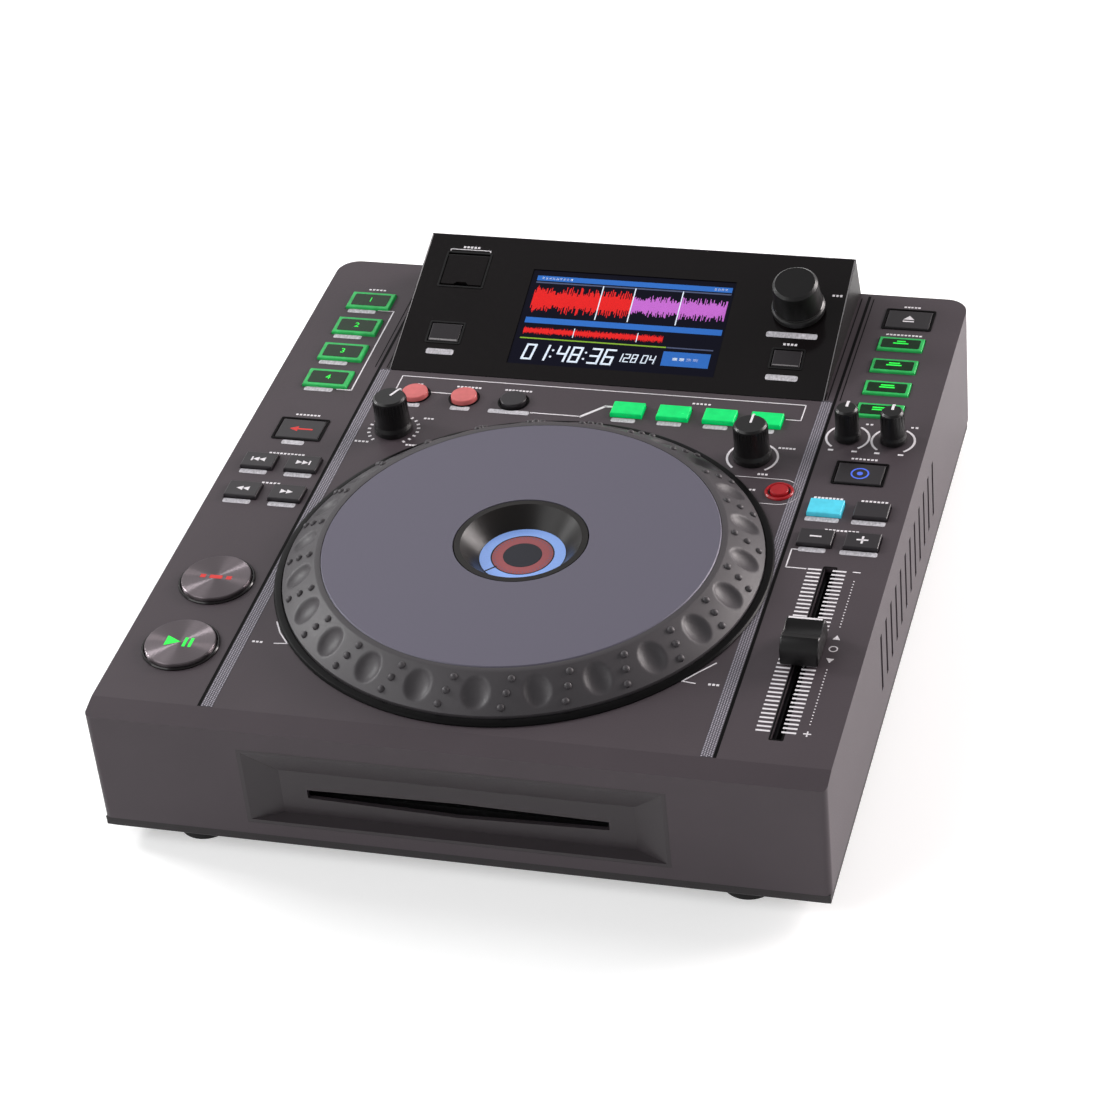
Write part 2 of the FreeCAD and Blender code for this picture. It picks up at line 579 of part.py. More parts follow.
# Port flap, hinged along its upper edge, over a short well with the port in its floor.
def make_port():
    body = new_body("usb_flap")
    sketch = new_sketch(body, "usb_flap_outline", "XY_Plane", -S.flap_thickness)
    half = S.flap_width / 2
    reach = S.flap_length
    notch = S.notch_depth - reach
    outline(sketch, [(-half, 0), (-half, -reach), (-S.notch_half, -reach),
                     (-S.notch_floor_half, notch), (S.notch_floor_half, notch),
                     (S.notch_half, -reach), (half, -reach), (half, 0)])
    pad(body, "usb_flap_leaf", sketch, S.flap_thickness)
    pin = new_sketch(body, "usb_flap_pin_outline", "YZ_Plane")
    circle(pin, S.flap_pin)
    doc.recompute()
    pin.AttachmentOffset = FreeCAD.Placement(vector(0, -S.flap_pin, 0), FreeCAD.Rotation())
    pad(body, "usb_flap_pin", pin, S.flap_width + S.pin_reach * 2, both_ways=True)
    top = S.flap_up + S.flap_length / 2
    body.Placement = on_panel(-S.flap_x, top)
    keep(body, "usb_flap")
    well = block("usb_well", S.flap_width + S.well_slack * 2,
                 S.flap_length + S.flap_gap * 2, REACH * 3,
                 on_panel(-S.flap_x, S.flap_up, -REACH * 2))
    room_end = S.flap_width / 2 + S.pin_reach + S.plate_slack
    pin_room = rod("usb_pin_room", S.flap_pin + S.pin_slack, room_end * 2,
                   turned(on_panel(-S.flap_x - room_end, top, -S.flap_pin),
                          FreeCAD.Vector(0, 1, 0), 90))
    openings["panel"] += [well, pin_room]
    socket = on_panel(-S.flap_x, S.flap_up, -S.port_floor - S.port_depth)
    shell = block("usb_shell", S.port_width, S.port_length + S.port_extra, S.port_depth, socket)
    inside = block("usb_inside", S.port_width - S.port_shell * 2, S.port_length - S.port_shell,
                   S.port_depth,
                   on_panel(-S.flap_x, S.flap_up, S.port_back - S.port_floor - S.port_depth))
    tongue = block("usb_tongue", S.tongue_width, S.tongue_thickness, S.port_depth - 2,
                   on_panel(-S.flap_x, S.flap_up + S.tongue_off, -S.port_floor - S.port_depth))
    base = block("usb_board", S.port_board, S.port_board, S.board_thickness,
                 on_panel(-S.flap_x, S.flap_up, -S.port_floor - S.port_depth - S.board_thickness))
    hollow = cut("usb_hollow", shell, inside)
    keep(join("usb_socket", [hollow, tongue, base]), "usb_socket")


# Recess in the front with the disc slot in its floor.
def make_slot_bezel():
    def frustum(name, spread, start, end):
        item = doc.addObject("Part::Wedge", name)
        bind(item, Xmin=-S.recess_half - spread, Xmax=S.recess_half + spread,
             Zmin=S.recess_low - spread, Zmax=S.recess_high + spread,
             X2min=-S.recess_floor_half - spread, X2max=S.recess_floor_half + spread,
             Z2min=S.recess_floor_low - spread, Z2max=S.recess_floor_high + spread,
             Ymin=start, Ymax=end)
        item.Placement = at(0, 0, 0)
        return item

    outer = frustum("bezel_outer", S.recess_flange, 0.0, S.recess_depth + S.recess_back)
    inner = frustum("bezel_inner", 0.0, 0.0, S.recess_depth)
    body = new_body("bezel_slot", at(0, 0, 0))
    sketch = new_sketch(body, "bezel_slot_outline", "XZ_Plane")
    outline(sketch, [(-S.slot_half, S.slot_end_low), (0, S.slot_mid_low),
                     (S.slot_half, S.slot_end_low), (S.slot_half, S.slot_end_high),
                     (0, S.slot_mid_high), (-S.slot_half, S.slot_end_high)])
    pad(body, "bezel_slot_cut", sketch, S.drive_front * 2, both_ways=True)
    keep(cut("slot_bezel", outer, [inner, body]), "slot_bezel")
    window_spread = S.recess_flange + S.recess_slack
    return frustum("front_window", window_spread, 0.0, S.recess_depth + S.recess_back)


def screw_places():
    return [(side * (S.case_width / 2 - S.screw_inset), along) for side in (-1, 1)
            for along in (S.screw_front, S.screw_middle, S.screw_back)]


def panel_centre():
    return S.jack_first - S.jack_pitch * 4 + S.panel_shift


# Upper shell: front, sides, back, deck and display panel housing in one moulding.
def make_upper_case(window):
    front = length(0.0) - centre_y
    back = S.case_depth - centre_y
    body = new_body("upper_shell")
    side = new_sketch(body, "upper_side", "YZ_Plane")
    outline(side, [(front, S.seam_height), (back, S.seam_height), (back, S.deck_back_height),
                   (front + S.brow_depth, S.deck_front_height), (front, S.front_height)])
    pad(body, "upper_block", side, S.case_width, both_ways=True)
    pod = new_sketch(body, "pod_side", "YZ_Plane")
    pod_front = S.pod_front - centre_y
    pod_top = S.pod_top - centre_y
    under = S.deck_front_height - 6
    outline(pod, [(pod_front, under), (back, under), (back, S.deck_back_height),
                  (pod_top, S.pod_top_height), (pod_front, S.pod_front_height)])
    pad(body, "pod_block", pod, S.pod_width, both_ways=True)
    inside = new_sketch(body, "inside_side", "YZ_Plane")
    wall = S.case_wall
    outline(inside, [(front + wall, S.seam_height - 1), (back - wall, S.seam_height - 1),
                     (back - wall, S.deck_back_height - wall),
                     (front + S.brow_depth, S.deck_front_height - wall),
                     (front + wall, S.front_height - wall - 0.3)])
    pocket(body, "inside", inside, S.case_width - wall * 2)

    def upright(edge, x, y):
        box = edge.BoundBox
        return (box.ZLength > 30 and box.XLength < TINY and box.YLength < TINY
                and abs(abs(box.XMin) - length(x).value) < TINY
                and abs(box.YMin - length(y).value) < TINY)

    half = S.case_width / 2
    round_edges(body, "inner_rear_corners", lambda edge: upright(edge, half - wall, back - wall),
                S.rear_corner - wall)
    round_edges(body, "rear_corners", lambda edge: upright(edge, half, back), S.rear_corner)
    round_edges(body, "front_corners", lambda edge: upright(edge, half, front), S.front_corner)
    hollow = new_sketch(body, "pod_inside_side", "YZ_Plane")
    skin = wall + S.bezel_thickness
    outline(hollow, [(pod_front + 7, under), (back - wall, under),
                     (back - wall, S.deck_back_height),
                     (pod_top - 0.6, S.pod_top_height - skin - 0.8),
                     (pod_front + 7, S.pod_front_height - wall)])
    pocket(body, "pod_inside", hollow, S.pod_width - wall * 2)
    bosses = [rod("boss_%d" % index, S.boss_radius, S.boss_height, at(x, along, S.seam_height))
              for index, (x, along) in enumerate(screw_places())]
    shell = join("upper_with_bosses", [body] + bosses)
    seat = block("bezel_seat", S.pod_width + 1, S.bezel_length + 1, REACH * 2,
                 on_panel(0, S.bezel_length / 2, -S.bezel_thickness))
    screen = block("screen_opening", S.lcd_width + 1, S.lcd_length + 1, REACH * 2,
                   on_panel(S.screen_x, S.screen_up, -REACH * 1.6))
    pilots = [rod("pilot_%s" % boss.Name, S.pilot_radius, S.pilot_depth,
                  boss.Placement.multiply(lifted(-1)))
              for boss in bosses]
    vents = []
    for index in range(int(SIZES["vent_count"])):
        along = S.vent_first + S.vent_pitch * index
        vents.append(block("vent_%d" % index, S.case_width + 10, S.vent_width, S.vent_height,
                           at(0, along, S.vent_low)))
    panel = block("rear_opening", S.jack_pitch * 8, REACH * 2, S.panel_half_height * 2,
                  at(panel_centre(), S.case_depth, S.jack_height - S.panel_half_height))
    inlet = block("inlet_opening", S.inlet_width + S.rear_gap * 2, REACH * 2,
                  S.inlet_height + S.rear_gap * 2,
                  at(-S.inlet_x, S.case_depth, S.jack_height - S.inlet_height / 2 - S.rear_gap))
    rocker = block("rocker_opening", S.rocker_width + S.rocker_gap * 2, REACH * 2,
                   S.rocker_length + S.rocker_gap * 2,
                   at(-S.rocker_x, S.case_depth,
                      S.jack_height - S.rocker_length / 2 - S.rocker_gap))
    tools = [seat, screen, window, panel, inlet, rocker] + pilots + vents
    tools += openings["deck"] + openings["panel"]
    keep(cut("upper_case", shell, join("upper_case_openings", tools)), "upper_case")


def make_bezel():
    plate = block("bezel_plate", S.pod_width, S.bezel_length, S.bezel_thickness,
                  on_panel(0, S.bezel_length / 2, -S.bezel_thickness))
    window = block("bezel_window", S.screen_width + 2, S.screen_length + 2, REACH,
                   on_panel(S.screen_x, S.screen_up, -REACH / 2))
    copies = []
    for tool in openings["panel"]:
        copy = doc.addObject(tool.TypeId, "bezel_" + tool.Name)
        names = ("Length", "Width", "Height") if tool.TypeId == "Part::Box" else ("Radius", "Height")
        for name in names:
            copy.setExpression(name, "%s.%s" % (tool.Name, name))
        copy.Placement = tool.Placement
        copies.append(copy)
    keep(cut("display_bezel", plate, [window] + copies), "display_bezel")
    # The display module fills the window with its glass and sits on its own frame below.
    frame = block("lcd_frame", S.lcd_width, S.lcd_length, S.lcd_thickness,
                  on_panel(S.screen_x, S.screen_up, -S.bezel_thickness - S.lcd_thickness))
    glass = block("lcd_glass", S.screen_width + 1.6, S.screen_length + 1.6, S.bezel_thickness,
                  on_panel(S.screen_x, S.screen_up, -S.bezel_thickness - 0.4))
    keep(join("lcd_module", [frame, glass]), "lcd_module")


# Lower tray with its lip, posts for the drive and screw holes, the feet and the screws.
def make_lower_case():
    body = new_body("lower_shell")
    front = S.tray_gap - centre_y
    back = S.case_depth - S.tray_gap - centre_y
    half = S.case_width / 2 - S.tray_gap
    sketch = new_sketch(body, "lower_outline", "XY_Plane", S.foot_height)
    outline(sketch, [(-half, front), (half, front), (half, back), (-half, back)])
    pad(body, "lower_block", sketch, S.seam_height - S.foot_height)

    above = S.seam_height + REACH
    room = new_sketch(body, "lower_room_outline", "XY_Plane", above)
    wall = S.case_wall
    outline(room, [(wall - half, front + wall), (half - wall, front + wall),
                   (half - wall, back - wall), (wall - half, back - wall)])
    pocket(body, "lower_room", room, (above - S.foot_height - wall) * 2)

    def inner_back(edge):
        return (edge.BoundBox.ZLength > 3 and abs(edge.BoundBox.YMin - (back - wall).value) < TINY)

    round_edges(body, "lower_inner_corners", inner_back, S.rear_corner - wall)

    def upright_back(edge):
        return edge.BoundBox.ZLength > 5 and abs(edge.BoundBox.YMin - back.value) < TINY

    round_edges(body, "lower_rear_corners", upright_back, S.rear_corner)
    base = body.Tip

    def at_bottom(edge):
        return all(abs(vertex.Z - SIZES["foot_height"]) < TINY for vertex in edge.Vertexes)

    bevel = body.newObject("PartDesign::Chamfer", "lower_bevel")
    bevel.Base = (base, edges_where(base.Shape, at_bottom))
    bind(bevel, Size=S.case_wall)
    doc.recompute()
    posts = []
    for side_x in (-1, 1):
        for along in (S.drive_front + S.drive_post_inset,
                      S.drive_front + S.drive_length - S.drive_post_inset):
            posts.append(rod("drive_post", S.drive_post_radius, S.drive_low - S.foot_height - 1,
                             at(side_x * (S.drive_half - S.drive_post_inset), along,
                                S.foot_height + 1)))
    for x, along in ((-42, 262), (138, 262), (-42, 326), (138, 326)):
        posts.append(rod("board_post", 3.0, 8.0, at(x, along, S.foot_height + 1)))
    shell = join("lower_with_posts", [body] + posts)
    holes = []
    screws = []
    for index, (x, along) in enumerate(screw_places()):
        tag = "%d" % index
        holes.append(rod("screw_hole_" + tag, S.screw_radius + S.rear_gap, REACH * 2,
                         at(x, along, S.foot_height - 1)))
        holes.append(rod("screw_sink_" + tag, S.head_radius + S.rear_gap, 2.0,
                         at(x, along, S.foot_height - 0.5)))
        head = rod("screw_head_" + tag, S.head_radius, S.head_height,
                   at(x, along, S.foot_height + 0.1))
        shank = rod("screw_shank_" + tag, S.screw_radius, S.screw_length,
                    at(x, along, S.foot_height + 0.1))
        drive = block("screw_cross_" + tag, S.head_radius, S.cross_width, S.cross_depth,
                      at(x, along, S.foot_height))
        screws.append(cut("screw_" + tag, join("screw_blank_" + tag, [head, shank]), drive))
    keep(cut("lower_case", shell, join("lower_cuts", holes)), "lower_case")
    keep(group("case_screws", screws), "case_screws")
    feet = []
    for side_x in (-1, 1):
        for along in (S.foot_front, S.foot_back):
            foot = doc.addObject("Part::Cone", "foot")
            bind(foot, Radius1=S.foot_radius - S.foot_draft, Radius2=S.foot_radius,
                 Height=S.foot_height)
            foot.Placement = at(side_x * S.foot_x, along, 0)
            feet.append(foot)
    keep(group("feet", feet), "feet")


# Slot drive: an open-fronted metal box with a turntable hub and a rubber loading roller.
def make_drive():
    wall = S.drive_wall
    middle = S.drive_front + S.drive_length / 2
    shell = block("drive_block", S.drive_half * 2, S.drive_length, S.drive_height,
                  at(0, middle, S.drive_low))
    room = block("drive_room", S.drive_half * 2 - wall * 2, S.drive_length - wall * 2,
                 S.drive_height - wall * 2, at(0, middle, S.drive_low + wall))
    mouth = block("drive_mouth", S.slot_half * 2 + 3, REACH * 2,
                  S.slot_mid_high - S.slot_mid_low + 2, at(0, S.drive_front, S.slot_mid_low - 1))
    bearings = [rod("roller_bearing_%d" % side, S.roller_radius * 0.5 + TINY, REACH,
                    turned(at(side * (S.drive_half - 1) - 3, S.roller_from_front, S.roller_height),
                           FreeCAD.Vector(0, 1, 0), 90)) for side in (-1, 1)]
    hub_hole = rod("spindle_bearing", S.pivot_radius + TINY, REACH,
                   at(0, S.disc_centre, S.drive_low - 1))
    keep(cut("disc_drive", shell, [room, mouth, hub_hole] + bearings), "disc_drive")
    body = new_body("disc_spindle", at(0, S.disc_centre, S.drive_low))
    sketch = new_sketch(body, "disc_spindle_profile", "XZ_Plane")
    rest = S.slot_end_low - S.drive_low - 2
    table = rest - S.table_thickness
    low = wall + S.pulley_low
    high = wall + S.pulley_high
    outline(sketch, [(0, -0.4), (S.pivot_radius, -0.4), (S.pivot_radius, low),
                     (S.pulley_radius, low), (S.pulley_radius, high), (S.neck_radius, high),
                     (S.neck_radius, table), (S.table_radius, table), (S.table_radius, rest),
                     (S.spindle_radius, rest), (S.spindle_radius, rest + S.hub_height),
                     (S.spindle_radius - S.hub_taper, rest + S.hub_tip),
                     (0, rest + S.hub_tip)])
    spin(body, "disc_spindle_turning", sketch)
    keep(body, "disc_spindle")
    place = turned(at(-S.drive_half + 0.4, S.roller_from_front, S.roller_height),
                   FreeCAD.Vector(0, 1, 0), 90)
    axle = rod("roller_axle", S.roller_radius * 0.5, S.drive_half * 2 - 0.8, place)
    sleeve = rod("roller_sleeve", S.roller_radius, S.roller_half * 2,
                 turned(at(-S.roller_half, S.roller_from_front, S.roller_height),
                        FreeCAD.Vector(0, 1, 0), 90))
    keep(join("loading_roller", [axle, sleeve]), "loading_roller")


# Sockets, inlet and switch in the back, and the boards inside.
def make_rear():
    back = S.case_depth
    plate = block("socket_plate", S.jack_pitch * 8 - S.rear_gap * 2, S.case_wall,
                  (S.panel_half_height - S.rear_gap) * 2,
                  at(panel_centre(), back - S.case_wall / 2,
                     S.jack_height - S.panel_half_height + S.rear_gap))
    backwards = FreeCAD.Rotation(SIDEWAYS, -90)
    solids = [plate]
    holes = []
    for index in range(3):
        x = S.jack_first - S.jack_pitch * index
        start = FreeCAD.Placement(at(x, back - S.jack_inside, S.jack_height).Base, backwards)
        solids.append(rod("jack_shell_%d" % index, S.jack_radius,
                          S.jack_inside + S.jack_reach, start))
        solids.append(rod("jack_collar_%d" % index, S.jack_radius + S.jack_collar,
                          S.jack_inside + 1.0, start))
        holes.append(rod("jack_bore_%d" % index, S.jack_bore, 10.0,
                         FreeCAD.Placement(at(x, back + S.jack_reach - 9, S.jack_height).Base,
                                           backwards)))
    sockets = (("network", 40.0, 16.0, 13.5, 11.8, 8.0), ("computer", 18.0, 12.0, 11.0, 8.6, 7.8))
    for name, x, width, height, hole_width, hole_height in sockets:
        solids.append(block(name + "_shell", width, S.socket_inside, height,
                            at(x, back - S.socket_inside / 2, S.jack_height - height / 2)))
        holes.append(block(name + "_hole", hole_width, 14.0, hole_height,
                           at(x, back - 6, S.jack_height - hole_height / 2)))
    remote = FreeCAD.Placement(at(0, back - S.jack_inside, S.jack_height).Base, backwards)
    solids.append(rod("remote_shell", S.remote_radius, S.jack_inside, remote))
    holes.append(rod("remote_hole", S.remote_bore, S.jack_inside + 8, remote))
    keep(cut("rear_sockets", join("socket_solids", solids), join("socket_holes", holes)),
         "rear_sockets")
    base = at(-S.inlet_x, back - S.inlet_depth / 2, S.jack_height - S.inlet_height / 2)
    shell = block("inlet_shell", S.inlet_width, S.inlet_depth, S.inlet_height, base)
    room = block("inlet_room", S.inlet_width - S.inlet_side * 2, S.inlet_depth,
                 S.inlet_height - S.inlet_edge * 2,
                 at(-S.inlet_x, back - S.inlet_depth / 2 + S.inlet_back,
                    S.jack_height - S.inlet_height / 2 + S.inlet_edge))
    pins = []
    for side in (-1, 0, 1):
        step = S.pin_step if side == 0 else -S.pin_step
        pins.append(block("inlet_pin_%d" % side, S.pin_width, S.pin_length, S.pin_height,
                          at(-S.inlet_x + side * S.pin_pitch,
                             back - S.inlet_back - S.pin_length / 2,
                             S.jack_height - S.pin_height / 2 + step)))
    keep(join("mains_inlet", [cut("inlet_hollow", shell, room)] + pins), "mains_inlet")
    body = new_body("power_rocker")
    sketch = new_sketch(body, "power_rocker_side", "YZ_Plane")
    half = S.rocker_length / 2 - S.rocker_dip
    outline(sketch, [(-S.rocker_depth, 1 - half), (S.rocker_rise, -half), (-S.rocker_dip, 0),
                     (S.rocker_rise, half), (-S.rocker_depth, half - 1)])
    pad(body, "power_rocker_block", sketch, S.rocker_width - 0.8, both_ways=True)
    body.Placement = at(-S.rocker_x, back - 0.2, S.jack_height)
    keep(body, "power_rocker")


def make_boards():
    board_low = S.foot_height + 9
    on_board = board_low + 1.5
    board = block("main_board_sheet", 186.0, 70.0, S.board_thickness, at(48, 294, board_low))
    chip_places = ((20, 285, 22), (60, 290, 16), (95, 282, 12))
    chips = [block("main_chip_%d" % index, side, side, 2.5, at(x, along, on_board))
             for index, (x, along, side) in enumerate(chip_places)]
    cans = [rod("main_can_%d" % index, 4.0, 9.5, at(-30 + index * 11, 272, on_board))
            for index in range(4)]
    keep(join("main_board", [board] + chips + cans), "main_board")
    supply = block("supply_sheet", 84.0, 66.0, S.board_thickness, at(-98, 280, S.foot_height + 8))
    posts = [rod("supply_post_%d_%d" % (x, along), 2.5, 6.0, at(x, along, S.foot_height + 2.5))
             for x in (-134, -62) for along in (252, 308)]
    on_supply = S.foot_height + 9.5
    coil = block("supply_coil", 26.0, 24.0, 20.0, at(-110, 284, on_supply))
    can = rod("supply_can", 9.0, 24.0, at(-76, 296, on_supply))
    sink = block("supply_sink", 30.0, 3.0, 18.0, at(-84, 258, on_supply))
    keep(join("power_supply", [supply, coil, can, sink] + posts), "power_supply")
    # Each control board hangs on standoffs and carries a switch under every button over it.
    boards = []
    for name, face, x, along, width, depth, inset, wall, drop in (
            ("left", on_deck, -127.4, 178, 38, 290, 4, S.case_wall, S.board_drop),
            ("right", on_deck, 127.4, 246, 38, 186, 12.5, S.case_wall, S.board_drop),
            ("loop", on_deck, 1, 215, 200, 72, 16, S.case_wall, S.board_drop),
            ("shift", on_panel, -80.6, 24.0, 22, 22, 2.5, length(4.7), S.board_drop + 2.6),
            ("browse", on_panel, 80.6, 38, 22, 56, 2.5, length(4.95), S.board_drop + 2.6)):
        pieces = [block(name + "_sheet", width, depth, S.board_thickness,
                        face(x, along, -drop - S.board_thickness))]
        for side in (-1, 1):
            for end in (-1, 1):
                place = face(x + side * (width / 2 - 3), along + end * (depth / 2 - inset),
                             -drop - 0.4)
                pieces.append(rod("%s_standoff_%d_%d" % (name, side, end), 2.0,
                                  drop - wall + 0.4, place))
        kind = "deck" if face is on_deck else "panel"
        lift = S.switch_top if kind == "deck" else S.switch_top + 2.6
        for index, (button_x, button_along) in enumerate(switches[kind]):
            inside = (abs(length(button_x).value - x) < width / 2
                      and abs(length(button_along).value - along) < depth / 2)
            if inside:
                pieces.append(block("%s_switch_%d" % (name, index), S.switch_side, S.switch_side,
                                    drop - lift + 0.4, face(button_x, button_along, -drop - 0.4)))
        boards.append(join(name + "_board", pieces))
    keep(group("control_boards", boards), "control_boards")


make_buttons()
make_knobs()
make_fader()
make_jog()
make_port()
front_window = make_slot_bezel()
make_upper_case(front_window)
make_bezel()
make_lower_case()
make_drive()
make_rear()
make_boards()
doc.recompute()

faults = ["%s %s" % (item.Name, item.State) for item in doc.Objects
          if "Invalid" in item.State or "Error" in item.State]
for item in parts:
    if item.Shape.isNull() or not item.Shape.isValid():
        faults.append("%s has a bad shape" % item.Label)
if faults:
    raise SystemExit("\n".join(faults))

os.makedirs("parts", exist_ok=True)
for item in parts:
    item.Shape.exportStep("parts/%s.step" % item.Label)
print("%d parts written" % len(parts))
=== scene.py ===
# %% [markdown]
# # A tabletop disc and media player, dressed in Blender
#
# The CAD model gives every solid its true size and every moving body its place. This lesson
# adds what the eye looks for: finishes with grain, printed marks, lit buttons, a rubber rim
# with finger dimples, and a screen. Every length below is written in millimetres, as on a
# drawing, and turned into metres once, where it is used.

import math

import bmesh
import bpy
from mathutils import Matrix, Vector


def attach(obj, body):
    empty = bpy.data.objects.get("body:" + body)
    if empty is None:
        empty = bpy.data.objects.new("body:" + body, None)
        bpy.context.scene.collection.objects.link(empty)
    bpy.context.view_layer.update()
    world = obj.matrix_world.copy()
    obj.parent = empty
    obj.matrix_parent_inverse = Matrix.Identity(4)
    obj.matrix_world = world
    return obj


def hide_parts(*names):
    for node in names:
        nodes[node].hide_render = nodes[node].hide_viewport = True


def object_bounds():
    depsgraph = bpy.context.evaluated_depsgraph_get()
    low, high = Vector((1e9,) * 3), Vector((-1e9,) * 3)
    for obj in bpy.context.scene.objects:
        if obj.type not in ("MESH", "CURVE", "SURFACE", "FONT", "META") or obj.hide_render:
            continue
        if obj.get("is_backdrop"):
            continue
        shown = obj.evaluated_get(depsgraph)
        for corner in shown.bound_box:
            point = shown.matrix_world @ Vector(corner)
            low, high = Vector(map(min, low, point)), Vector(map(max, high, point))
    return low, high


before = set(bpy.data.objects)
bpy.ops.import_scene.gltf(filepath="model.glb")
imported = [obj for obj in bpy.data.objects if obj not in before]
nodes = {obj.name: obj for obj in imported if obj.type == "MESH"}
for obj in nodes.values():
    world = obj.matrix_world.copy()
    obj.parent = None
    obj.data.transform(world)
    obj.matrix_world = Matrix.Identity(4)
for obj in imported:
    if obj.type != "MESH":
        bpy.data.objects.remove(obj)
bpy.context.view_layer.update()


def plain_box():
    return [[float(value) for value in corner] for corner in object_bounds()]


# %% [markdown]
# ## The two faces that carry controls
#
# The deck rises slightly towards the back, and the display panel stands at a steeper angle
# behind it. One matrix for each face lets us write a place as on a flat drawing: x to the
# right, y up the face, z out of it. That is simpler than working out each tilted point.

# %% Face matrices and colours
MM = 0.001
MIDDLE_FROM_FRONT = 176.25
BROW_DEPTH = 10.8
DECK_FRONT_HEIGHT = 68.0
DECK_SLOPE = math.atan2(4.5, 334.2)
PANEL_FROM_FRONT = 256.0
PANEL_FRONT_HEIGHT = 71.3
PANEL_SLOPE = math.atan2(24.9, 80.6)


def face_matrix(from_front, height, slope):
    foot = Vector((0, from_front - MIDDLE_FROM_FRONT, height)) * MM
    return Matrix.Translation(foot) @ Matrix.Rotation(slope, 4, "X")


DECK = face_matrix(0, DECK_FRONT_HEIGHT - BROW_DEPTH * math.tan(DECK_SLOPE), DECK_SLOPE)
PANEL = face_matrix(PANEL_FROM_FRONT, PANEL_FRONT_HEIGHT, PANEL_SLOPE)


def spot(face, x, y, up=0.0):
    return face @ Matrix.Translation(Vector((x, y, up)) * MM)


def colour(red, green, blue):
    """A colour picked on a screen, as the linear numbers that a shader wants."""
    def linear(part):
        part = part / 255
        return part / 12.92 if part < 0.04045 else ((part + 0.055) / 1.055) ** 2.4
    return (linear(red), linear(green), linear(blue), 1.0)


for name, slope in (("deck", DECK_SLOPE), ("panel", PANEL_SLOPE)):
    print(name, "slope", round(math.degrees(slope), 2))

# %% [markdown]
# ## The camera
#
# The photograph was measured as a view of a box, which gives the camera's place, its turn and
# its lens. A camera could also be aimed with a Track To constraint, but the photograph is
# slightly rolled, so we build the turn from three angles instead.

# %% Camera
IMAGE_SIZE = 1100
SENSOR = 36.0
FOCAL_PIXELS = 3292.9
CAMERA_PLACE = Vector((368.1, -1112.9, 882.2)) * MM
AZIMUTH = math.radians(-17.14)
ELEVATION = math.radians(35.32)
ROLL = math.radians(-5.34)
SHIFT = (-0.06, -0.03)


def add_camera():
    flat = math.cos(ELEVATION)
    ahead = Vector((math.sin(AZIMUTH) * flat, math.cos(AZIMUTH) * flat, -math.sin(ELEVATION)))
    level = ahead.cross(Vector((0, 0, 1))).normalized()
    upright = level.cross(ahead)
    right = level * math.cos(ROLL) + upright * math.sin(ROLL)
    up = upright * math.cos(ROLL) - level * math.sin(ROLL)
    data = bpy.data.cameras.new("camera")
    data.sensor_width = SENSOR
    data.lens = FOCAL_PIXELS / IMAGE_SIZE * SENSOR
    data.shift_x, data.shift_y = SHIFT
    camera = bpy.data.objects.new("camera", data)
    turn = Matrix((right, up, -ahead)).transposed().to_4x4()
    camera.matrix_world = Matrix.Translation(CAMERA_PLACE) @ turn
    bpy.context.scene.collection.objects.link(camera)
    bpy.context.scene.camera = camera
    return camera


camera = add_camera()
print("lens", round(camera.data.lens, 1), "mm")

# %% [markdown]
# ## Finishes
#
# A moulded plastic is never one flat colour: it has a fine spark texture, and its shine
# varies a little. We could paint images, but a noise that reads Object coordinates has the
# same grain on every piece and needs no unwrapping. One helper builds the common recipe, the
# special finishes add to it, and every material is found again by its name.

# %% Helpers for nodes
LOOKS = {}


def add_node(tree, kind, links=(), **values):
    """Adds a node, sets its values, and feeds its inputs from other nodes or with constants."""
    node = tree.nodes.new(kind)
    for name, value in values.items():
        setattr(node, name, value)
    for socket, source in links:
        if isinstance(source, bpy.types.NodeSocket):
            tree.links.new(source, node.inputs[socket])
        else:
            node.inputs[socket].default_value = source
    return node


class Finish:
    """One material, kept in LOOKS by its name, with small helpers to add and link its nodes."""

    def __init__(self, name, base, roughness, metallic=0.0, shine=0.35):
        self.material = LOOKS[name] = bpy.data.materials.new(name)
        self.material.use_nodes = True
        self.tree = self.material.node_tree
        self.shader = self.tree.nodes["Principled BSDF"]
        self.base = colour(*base)
        self.set("Base Color", self.base)
        self.set("Roughness", roughness)
        self.set("Metallic", metallic)
        self.set("Specular IOR Level", shine)
        self.place = self.add("ShaderNodeTexCoord").outputs["Object"]

    def set(self, socket, value):
        self.shader.inputs[socket].default_value = value

    def add(self, kind, links=(), **values):
        return add_node(self.tree, kind, links, **values)

    def noise(self, scale, detail=3.0, source=None):
        links = [("Vector", source or self.place), ("Scale", scale), ("Detail", detail)]
        return self.add("ShaderNodeTexNoise", links).outputs["Fac"]

    def between(self, value, low, high):
        """The value, from 0 to 1, spread from low to high."""
        node = self.add("ShaderNodeMapRange", [("Value", value), ("To Min", low), ("To Max", high)])
        return node.outputs["Result"]

    def shade(self, value, dark, light):
        """The base colour, from dark times to light times as bright, where the value says."""
        ends = [tuple(part * level for part in self.base[:3]) + (1.0,) for level in (dark, light)]
        node = self.add("ShaderNodeMix", [("Factor", value)], data_type="RGBA")
        colours = [socket for socket in node.inputs if socket.type == "RGBA"]
        colours[0].default_value, colours[1].default_value = ends
        return [socket for socket in node.outputs if socket.type == "RGBA"][0]

    def feed(self, socket, source):
        self.tree.links.new(source, self.shader.inputs[socket])

    def bump(self, height, depth, strength=0.5):
        links = [("Height", height), ("Distance", depth * MM), ("Strength", strength)]
        self.feed("Normal", self.add("ShaderNodeBump", links).outputs["Normal"])


